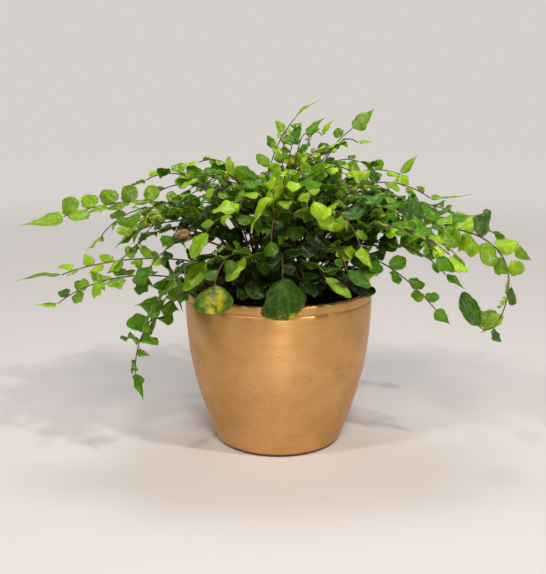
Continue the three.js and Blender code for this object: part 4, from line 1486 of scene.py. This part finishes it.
@dataclass
class Frond:
    """One frond's wiry stem with its leaflets, as one piece that stands for the part's frond if it has one.

    Lengths are in millimetres. green_spread is how much leaves differ in green, and the ages and shares say
    how many leaves are old or brown at the tip.
    """

    plan: FrondPlan
    seed: int
    node: str | None = None
    stem_sides: int = 7
    stem_step: float = 3.0
    root_radius: float = 0.8
    tip_radius: float = 0.4
    tapering: float = 0.8
    stem_unevenness: float = 0.05
    hair_spacing: float = 1.6
    hair_length: float = 1.5
    least_match: float = 0.3
    left_out_size: float = 0.5
    middle_green: float = 0.39
    young_green: float = 0.4
    # How much darker the green of leaves inside the bunch is made, a painted shade.
    inner_shade_darkening: float = 0.75
    green_spread: float = 0.2
    old_share: float = 0.05
    old_ages: Pair = (0.3, 0.9)
    old_depth: float = 0.3
    brown_tip_share: float = 0.06
    shaper: BladeShaper = field(default_factory=BladeShaper)

    def ruled_leaflets(self, line: StemLine) -> list[Leaflet]:
        """Stands the leaflets of the frond's rule in the poses that the part's own blades have.

        Args:
            line: The stem's arch.

        Returns:
            The leaflets in order, the end leaf last. One that the part leaves out is half the size here.
        """
        points = line.coarse()
        rules = leaflet_rules(self.plan, Draw(self.seed))
        if self.node is None:
            return [rule.posed(line, points, LEAF_POSES[0]) for rule in rules]
        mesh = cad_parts[self.node].data
        corners = np.empty(len(mesh.vertices) * 3)
        mesh.vertices.foreach_get("co", corners)
        corners = corners.reshape(-1, 3) / MM
        found = []
        for rule in rules:
            poses = [rule.posed(line, points, pose) for pose in LEAF_POSES]
            shares = [self.match(pose.coarse_corners(), corners) for pose in poses]
            best = int(np.argmax(shares))
            small = rule.posed(line, points, (0, 0, self.left_out_size))
            found.append(poses[best] if shares[best] > self.least_match else small)
        return found

    def leaflets(self, line: StemLine) -> list[Leaflet]:
        """Finds the frond's leaflets and gives them the looks that the plan asks for.

        Args:
            line: The stem's arch.

        Returns:
            The leaflets in order, the end leaf after the side leaflets and those given one by one last.
        """
        found = self.ruled_leaflets(line)
        self.seat(found, line.at(np.linspace(0, 1, 2 * CURVE_DIVISIONS + 1)))
        for index, leaf in enumerate(found[:-1]):
            growth = self.plan.growth * (1 + (self.plan.tip_growth - 1) * (index / self.plan.leaflets) ** 3)
            leaf.length *= growth
            leaf.width *= growth * self.plan.slimness
        end = found[-1]
        end.form = self.plan.end_form
        end.length, end.width = self.plan.end_size or (end.length, end.width)
        if self.plan.end_aim is not None:
            end.direction, end.across, end.face = facing(self.plan.end_aim, self.plan.end_face)
        by_hand = [leaf.leaflet() for leaf in self.plan.tip_leaves]
        self.seat(by_hand, line.fine(1.0))
        return found + by_hand

    @staticmethod
    def seat(leaves: list[Leaflet], stem: np.ndarray) -> None:
        """Moves each leaflet's root to the nearest point of the stem."""
        for leaf in leaves:
            leaf.root = stem[np.linalg.norm(stem - leaf.root, axis=1).argmin()]

    @staticmethod
    def match(wanted: np.ndarray, corners: np.ndarray) -> float:
        """Gives the share of the wanted points that are corners of the part's mesh."""
        gaps = np.linalg.norm(wanted[:, None, :] - corners[None, :, :], axis=2).min(1)
        return float((gaps < MATCH_TOLERANCE).mean())

    def tone(self, index: int, leaf: Leaflet, chance: np.random.Generator) -> Triple:
        """Draws a leaf's tint, age and browning, which its finish reads.

        Leaves near the stem's tip are younger and fresher, and leaves inside the bunch get a darker green as
        painted shade.

        Args:
            index: The leaf's number on its frond.
            leaf: The leaf.
            chance: The source of its irregularities.

        Returns:
            Three values from 0 to 1.
        """
        young = index / max(self.plan.leaflets, 1) if index <= self.plan.leaflets else 0.0
        # Leaves inside the bunch take a darker green: painted shade.
        inside = inner_shade(leaf.root) if self.plan.ripeness >= 0 else 0.0
        fresh = self.middle_green + self.young_green * young - self.plan.ripeness
        fresh -= self.inner_shade_darkening * inside
        tint = float(np.clip(chance.normal(fresh, self.green_spread), 0, 1))
        age = chance.uniform(*self.old_ages) if chance.uniform() < self.old_share else 0.0
        if index == self.plan.leaflets:
            age = self.plan.yellow
        browned = chance.uniform() < self.brown_tip_share or leaf.form is BROAD
        return tint, age * (inside < self.old_depth), float(browned)

    def build(self) -> None:
        """Builds the frond's piece."""
        line = StemLine(self.plan)
        chance = np.random.default_rng(self.seed)
        work = MeshWork()
        for index, leaf in enumerate(self.leaflets(line)):
            self.shaper.add(work, leaf, chance, self.tone(index, leaf, chance), self.plan.crumple)
        points = line.fine(self.stem_step)
        run = np.linspace(0, 1, len(points))
        radii = self.root_radius + (self.tip_radius - self.root_radius) * run**self.tapering
        radii = radii * (1 + self.stem_unevenness * chance.standard_normal(len(points)))
        stem = WiryStem(points, radii, line.sideways, self.stem_sides)
        stem.add(work, 1, run)
        stem.add_hairs(work, self.hair_spacing, self.hair_length, chance, 1)
        finishes = [FINISHES[self.plan.tone], STEM_SKIN]
        work.make(f"leafy_{self.plan.name}", finishes, self.node)


@dataclass
class YoungFrond:
    """A young frond that is still rolled up: a scaly brown coil on its own stalk, in millimetres.

    bends are the lengths of the stalk's first and last guides, and swelling is the coil's radius along it.
    """

    root: Triple = (-17.0, -13.0, 101.0)
    neck: Triple = (-64.0, -60.0, 163.0)
    bends: Pair = (50.0, 14.0)
    neck_drop: float = 2.0
    coil_radius: float = 2.3
    coil_stretch: float = 3.0
    coil_closing: float = 0.8
    turns: float = 1.3
    stalk_radius: float = 0.7
    swelling: tuple[Pair, ...] = ((0, 0.7), (0.3, 1.6), (0.8, 1.7), (1, 0.8))
    stalk_steps: int = 40
    coil_steps: int = 60
    sides: int = 8
    scale_spacing: float = 0.25
    scale_length: float = 2.2
    seed: int = 97

    def build(self) -> None:
        """Builds the rolled frond's piece."""
        root, neck = np.array(self.root), np.array(self.neck)
        outward = unit((neck - root) * (1, 1, 0))
        rise = np.array([0.0, 0.0, 1.0])
        high = neck - outward * self.bends[1] - rise * self.neck_drop
        stalk = cubic([root, root + rise * self.bends[0], high, neck], np.linspace(0, 1, self.stalk_steps))
        start = unit(stalk[-1] - stalk[-2])
        angle = np.linspace(0, 2 * np.pi * self.turns, self.coil_steps)
        heading = math.atan2(start @ rise, start @ outward) + angle
        step = self.coil_radius * (1 - self.coil_closing * angle / angle[-1]) * angle[1]
        across, up = np.cumsum(np.cos(heading) * step), np.cumsum(np.sin(heading) * step)
        coil = neck + across[:, None] * outward * self.coil_stretch + up[:, None] * rise
        thick = np.interp(np.linspace(0, 1, self.coil_steps), *np.transpose(self.swelling))
        radii = np.concatenate([np.full(self.stalk_steps, self.stalk_radius), thick])
        stem = WiryStem(np.concatenate([stalk, coil]), radii, np.cross(outward, rise), self.sides)
        work = MeshWork()
        stem.add(work, 0, np.linspace(0, 1, len(radii)))
        chance = np.random.default_rng(self.seed)
        stem.add_hairs(work, self.scale_spacing, self.scale_length, chance, 0)
        work.make("rolled_young_frond", [YOUNG_SCALES])


@dataclass
class Fern:
    """All fronds: the part's own, the small ones that fill the bunch and the rolled young one."""

    first_filling_seed: int = 501

    def build(self) -> None:
        """Builds every frond."""
        own = PLACED_FRONDS + [plan for ring in FROND_RINGS for plan in ring.fronds()]
        for seed, plan in enumerate(own, 1):
            Frond(plan, seed, f"frond_{plan.name}").build()
        filling = SINGLE_FRONDS + [plan for ring in FILLING_RINGS for plan in ring.fronds()]
        for seed, plan in enumerate(filling, self.first_filling_seed):
            Frond(plan, seed).build()
        YoungFrond().build()


@dataclass
class Pot:
    """The turned pot: a flat foot, a bellied wall, a fine groove and a rounded lip, in millimetres.

    Each point of the outline is a radius and a height, and belly_guides guide the wall's curve. The wheel
    leaves fine level lines below the neck, and the hand makes the wall slightly out of round. Both start
    gently above the foot. oval and three_sided are shares of the unevenness, turned by angles in radians.
    """

    rim_radius: float = 70.0
    height: float = 117.0
    foot_radius: float = 45.0
    foot_bend: tuple[Pair, ...] = ((46.4, 0.25), (47.3, 0.8), (47.8, 1.4), (48.3, 2.4))
    belly_guides: tuple[Pair, ...] = ((49.0, 4.5), (58.5, 31.0), (69.2, 57.0), (69.8, 109.3))
    groove: tuple[Pair, ...] = (
        (69.35, 109.7), (69.1, 110.0), (69.3, 110.35), (69.75, 110.7), (69.95, 111.3))
    collar: tuple[Pair, ...] = ((70.0, 112.6), (70.0, 114.2))
    lip_rounding: float = 1.6
    lip_steps: int = 7
    wall: float = 4.2
    floor: float = 6.0
    floor_middle: float = 20.0
    segments: int = 160
    belly_steps: int = 56
    wheel_line: float = 0.05
    wheel_spacing: float = 3.3
    plain_neck: float = 2.0
    wheel_start: float = 10.0
    unevenness: float = 0.14
    oval: float = 0.5
    oval_turn: float = 0.4
    three_sided: float = 0.3
    three_sided_turn: float = 1.9
    hand_twist: float = 40.0
    hand_start: float = 30.0
    true_foot: float = 1.3
    inner_bend: float = 4.0

    def belly(self, inset: float) -> list[Pair]:
        """Gives points up the bellied wall at an inset, from foot to neck."""
        guides = [np.array(guide) - (inset, 0) for guide in self.belly_guides]
        return [tuple(point) for point in cubic(guides, np.linspace(0, 1, self.belly_steps + 1))]

    def rounding(self, radius: float, start: float, end: float) -> list[Pair]:
        """Gives points of the lip's rounding.

        Args:
            radius: The rounding's middle, as a distance from the axis.
            start: The angle of its first point, in degrees.
            end: The angle of its last point.

        Returns:
            A radius and a height for each point.
        """
        size = self.lip_rounding
        angles = np.radians(np.linspace(start, end, self.lip_steps + 1))
        return [(radius + size * math.cos(a), self.height - size + size * math.sin(a)) for a in angles]

    def profile(self) -> np.ndarray:
        """Gives the outline from the middle of the underside up, over the lip and down to the inner floor.

        Returns:
            One row for each point, with its radius and height.
        """
        base = [(self.foot_radius / 2, 0.0), (self.foot_radius - 1, 0.0), (self.foot_radius, 0.0)]
        outside = [*base, *self.foot_bend, *self.belly(0), *self.groove, *self.collar]
        inner = self.rim_radius - self.wall
        lip = self.rounding(self.rim_radius - self.lip_rounding, 0, 90)
        lip += self.rounding(inner + self.lip_rounding, 90, 180)
        lowest = self.floor + self.inner_bend
        inside = [point for point in reversed(self.belly(self.wall)) if point[1] > lowest]
        floor = [(self.belly_guides[0][0] - self.wall, self.floor), (self.floor_middle, self.floor)]
        return np.array(outside + lip + inside + floor)

    def build(self) -> None:
        """Builds the pot's piece."""
        radius, height = np.split(self.profile(), 2, axis=1)
        angles = all_round(self.segments)
        hand = self.oval * np.sin(2 * angles + self.oval_turn)
        hand = hand + self.three_sided * np.sin(3 * angles + self.three_sided_turn + height / self.hand_twist)
        hand = self.unevenness * hand * np.clip(height / self.hand_start, 0, 1)
        wheel = np.sin(2 * np.pi * height / self.wheel_spacing + angles)
        wheel = self.wheel_line * wheel * np.clip(height / self.wheel_start, 0, 1)
        wheel = wheel * (height < self.belly_guides[-1][1] - self.plain_neck)
        out = np.where(height < self.true_foot, radius, radius + hand - self.unevenness + wheel)
        work = MeshWork()
        work.add(*turned_form(angles, out, height, (0.0, self.floor)))
        work.make("glazed_pot", [GOLD_GLAZE], "pot")


@dataclass
class Soil:
    """Potting soil that fills the pot, with an uneven top, crumbs and fine roots, in millimetres.

    bumps are the sizes and heights of the top's waves, and the seeds start the draws of bumps and of litter.
    Crumbs and roots lie within shares of the top's radius, and the margins keep them off the wall.
    """

    pot: Pot
    top: float = SOIL_TOP
    clearance: float = 0.9
    above_floor: float = 0.3
    plain_shoulder: float = 1.0
    wall_points_left_out: int = 4
    rings: int = 60
    middle_share: float = 0.02
    segments: int = 150
    bumps: tuple[Pair, ...] = ((26, 0.9), (12, 0.6), (6, 0.4), (3.2, 0.28), (1.8, 0.16))
    waves_per_bump: int = 4
    lump_shrinking: float = 1.9
    edge_tolerance: float = 1.1
    crumbs: int = 900
    crumb_margin: float = 1.5
    crumb_places: Pair = (0.02, 0.97)
    crumb_size: Pair = (0.5, 1.9)
    crumb_flatness: Pair = (0.6, 1.0)
    crumb_unevenness: Pair = (0.75, 1.25)
    roots: int = 46
    root_margins: Pair = (2.0, 1.0)
    root_places: float = 0.525
    root_lift: float = 0.25
    fewest_steps: int = 4
    root_steps: int = 14
    root_step: Pair = (0.8, 1.8)
    root_radius: Pair = (0.14, 0.35)
    root_bend: float = 0.35
    root_sides: int = 5
    bump_seed: int = 7
    litter_seed: int = 11

    def relief(self, x: np.ndarray, y: np.ndarray) -> np.ndarray:
        """Gives the height of the soil's bumps above its top at a place.

        Args:
            x: The places' distances to the right.
            y: Their distances to the back.

        Returns:
            One height for each place.
        """
        chance = np.random.default_rng(self.bump_seed)
        total = np.zeros(np.broadcast(x, y).shape)
        for size, strength in self.bumps:
            for _ in range(self.waves_per_bump):
                turn, phase = chance.uniform(0, 2 * np.pi, 2)
                along = x * np.cos(turn) + y * np.sin(turn)
                total += strength / 2 * np.sin(2 * np.pi * along / size + phase)
        return total

    def lump(self) -> tuple[np.ndarray, np.ndarray]:
        """Makes the twenty-sided lump of about 1 mm radius that every crumb starts from.

        Returns:
            Its corners and its faces.
        """
        golden = (1 + 5**0.5) / 2
        corners = np.array([(a, b, 0) for a in (-1, 1) for b in (-golden, golden)])
        corners = np.concatenate([corners, corners[:, [2, 0, 1]], corners[:, [1, 2, 0]]])
        corners = corners / self.lump_shrinking
        gaps = np.linalg.norm(corners[:, None] - corners[None], axis=2)
        near = (gaps < gaps[gaps > 0].min() * self.edge_tolerance) & (gaps > 0)
        faces = []
        for i, j, k in combinations(range(len(corners)), 3):
            if near[i, j] and near[j, k] and near[i, k]:
                out = np.cross(corners[j] - corners[i], corners[k] - corners[i]) @ corners[i]
                faces.append((i, j, k, k) if out > 0 else (i, k, j, j))
        return corners, np.array(faces)

    def add_crumbs(self, work: MeshWork, reach: float, chance: np.random.Generator) -> None:
        """Adds loose crumbs that lie on the top, each a small uneven lump.

        Args:
            work: Where the crumbs go.
            reach: The top's radius.
            chance: The source of their places and shapes.
        """
        corners, faces = self.lump()
        for _ in range(self.crumbs):
            place = reach * math.sqrt(chance.uniform(*self.crumb_places))
            angle = chance.uniform(0, 2 * np.pi)
            x, y = place * math.cos(angle), place * math.sin(angle)
            size = chance.uniform(*self.crumb_size) * chance.uniform(*self.crumb_flatness, 3)
            shape = corners * size * chance.uniform(*self.crumb_unevenness, (len(corners), 1))
            ground = self.top + float(self.relief(np.array(x), np.array(y)))
            work.add(shape + (x, y, ground + size[2] / 4), faces)

    def add_roots(self, work: MeshWork, reach: float, chance: np.random.Generator) -> None:
        """Adds thin roots and fibres that lie across the top.

        Args:
            work: Where the roots go.
            reach: The top's radius.
            chance: The source of their places and bends.
        """
        for _ in range(self.roots):
            heading = chance.uniform(0, 2 * np.pi)
            place = chance.uniform(-self.root_places, self.root_places, 2) * reach
            turns = np.cumsum(chance.normal(0, self.root_bend, self.root_steps)) + heading
            steps = np.stack([np.cos(turns), np.sin(turns)], -1) * chance.uniform(*self.root_step)
            path = place + np.cumsum(steps, 0)
            path = path[np.linalg.norm(path, axis=1) < reach - self.root_margins[1]]
            if len(path) < self.fewest_steps:
                continue
            ground = self.top + self.relief(path[:, 0], path[:, 1]) + self.root_lift
            radii = np.full(len(path), chance.uniform(*self.root_radius))
            points = np.column_stack([path, ground])
            WiryStem(points, radii, np.array([0.0, 0.0, 1.0]), self.root_sides).add(work, 1)

    def build(self) -> None:
        """Builds the soil's piece."""
        gap = self.pot.wall + self.clearance
        lowest = self.pot.floor + self.above_floor
        skip = self.wall_points_left_out
        highest = self.top - self.plain_shoulder
        side = [point for point in self.pot.belly(gap) if point[1] < highest][skip::skip]
        foot = self.pot.belly_guides[0][0] - gap
        reach = self.pot.belly_guides[-1][0] - gap
        surface = [(reach * share, self.top) for share in np.linspace(1, self.middle_share, self.rings)]
        profile = np.array([(foot / 2, lowest), (foot, lowest), *side, *surface])
        radius, height = np.split(profile, 2, axis=1)
        angles = all_round(self.segments)
        bumps = self.relief(radius * np.cos(angles), radius * np.sin(angles))
        height = height + np.where(height >= self.top, bumps, 0)
        centre = self.top + float(self.relief(np.array(0.0), np.array(0.0)))
        work = MeshWork()
        work.add(*turned_form(angles, radius, height, (lowest, centre)))
        chance = np.random.default_rng(self.litter_seed)
        self.add_crumbs(work, reach - self.crumb_margin, chance)
        self.add_roots(work, reach - self.root_margins[0], chance)
        work.make("potting_soil", [POTTING_SOIL, ROOT_SKIN], "soil")


@dataclass(frozen=True)
class SoftLight:
    """A square studio light: its place and target in metres, width, power in watts and colour."""

    name: str
    place: Triple
    target: Triple
    size: float
    power: float
    colour: str = "#fffdfa"

    def add(self) -> None:
        """Adds the light to the scene."""
        data = bpy.data.lights.new(self.name, "AREA")
        data.size = self.size
        data.energy = self.power
        data.color = linear(self.colour)[:3]
        light = bpy.data.objects.new(self.name, data)
        light.location = self.place
        aim = np.array(self.target) - np.array(self.place)
        tilt = math.acos(-aim[2] / np.linalg.norm(aim))
        light.rotation_euler = (tilt, 0, math.atan2(aim[1], aim[0]) - math.pi / 2)
        bpy.context.scene.collection.objects.link(light)


STUDIO_LIGHTS = (
    SoftLight("right_light", (1.22, -0.95, 1.75), (0, 0, 0.1), 0.13, 19.0),
    SoftLight("left_light", (-1.15, -0.95, 1.75), (0, 0, 0.1), 0.15, 12.3),
    SoftLight("front_light", (0.1, -1.35, 1.4), (0, -0.42, 0), 0.4, 13.5),
    SoftLight("low_light", (0.12, -1.5, 0.16), (0, 0, 0.05), 0.3, 3.9),
    SoftLight("top_light", (0.05, 0.7, 2.0), (0, 0, 0.15), 0.6, 15.0, "#eef4ff"),
)


@dataclass
class Studio:
    """The pale floor, soft lights, grey backdrop light and the camera at the photograph's angle, in metres.

    The camera's pitch is in degrees. fading_up and fading_down are the heights, as shares of a unit sphere,
    between which the backdrop fades into the ceiling and into the far floor.
    """

    camera_place: Triple = (-0.0041, -0.6, 0.2464)
    camera_pitch: float = 77.74
    camera_lens: float = 51.27
    camera_near: float = 0.01
    floor_radius: float = 3.4
    floor_sides: int = 96
    backdrop: str = "#d6d0cd"
    ceiling: str = "#5c6169"
    far_floor: str = "#e2d9d1"
    fading_up: Pair = (0.25, 0.6)
    fading_down: Pair = (-0.04, -0.24)

    def add_floor(self) -> None:
        """Adds the round floor."""
        reach = self.floor_radius
        ring = [(reach * math.cos(a), reach * math.sin(a), 0) for a in all_round(self.floor_sides)]
        mesh = bpy.data.meshes.new("studio_floor")
        mesh.from_pydata(ring, [], [tuple(range(self.floor_sides))])
        mesh.materials.append(STUDIO_FLOOR.material())
        floor = bpy.data.objects.new("studio_floor", mesh)
        bpy.context.scene.collection.objects.link(floor)

    def add_world(self) -> None:
        """Sets the soft grey light that comes from all round and fades towards the ceiling."""
        world = bpy.data.worlds.new("studio_light")
        world.use_nodes = True
        tree = world.node_tree
        tree.nodes.clear()
        height = add_node(tree, "SeparateXYZ", None, {
            0: add_node(tree, "TexCoord").outputs["Generated"]}).outputs[2]
        above, below = (
            add_node(tree, "MapRange", {"interpolation_type": "SMOOTHSTEP"}, {
                "Value": height, "From Min": start, "From Max": end})
            for start, end in (self.fading_up, self.fading_down)
        )
        shown = coated(tree, self.backdrop, [(above, self.ceiling), (below, self.far_floor)])
        light = add_node(tree, "Background", None, {"Color": shown})
        add_node(tree, "OutputWorld", None, {"Surface": light})
        bpy.context.scene.world = world

    def add_camera(self) -> None:
        """Adds the camera."""
        data = bpy.data.cameras.new("photo_camera")
        data.lens = self.camera_lens
        data.clip_start = self.camera_near
        camera = bpy.data.objects.new("photo_camera", data)
        camera.location = self.camera_place
        camera.rotation_euler = (math.radians(self.camera_pitch), 0, 0)
        bpy.context.scene.collection.objects.link(camera)
        bpy.context.scene.camera = camera

    def build(self) -> None:
        """Builds the studio."""
        self.add_camera()
        self.add_floor()
        self.add_world()
        for light in STUDIO_LIGHTS:
            light.add()
        bpy.context.scene.view_settings.view_transform = "Standard"


def main() -> None:
    """Builds the studio, the pot with its soil and the fern."""
    logging.basicConfig(level=logging.INFO, format="%(name)s: %(message)s")
    Studio().build()
    pot = Pot()
    pot.build()
    Soil(pot).build()
    Fern().build()


if __name__ == "__main__":
    main()
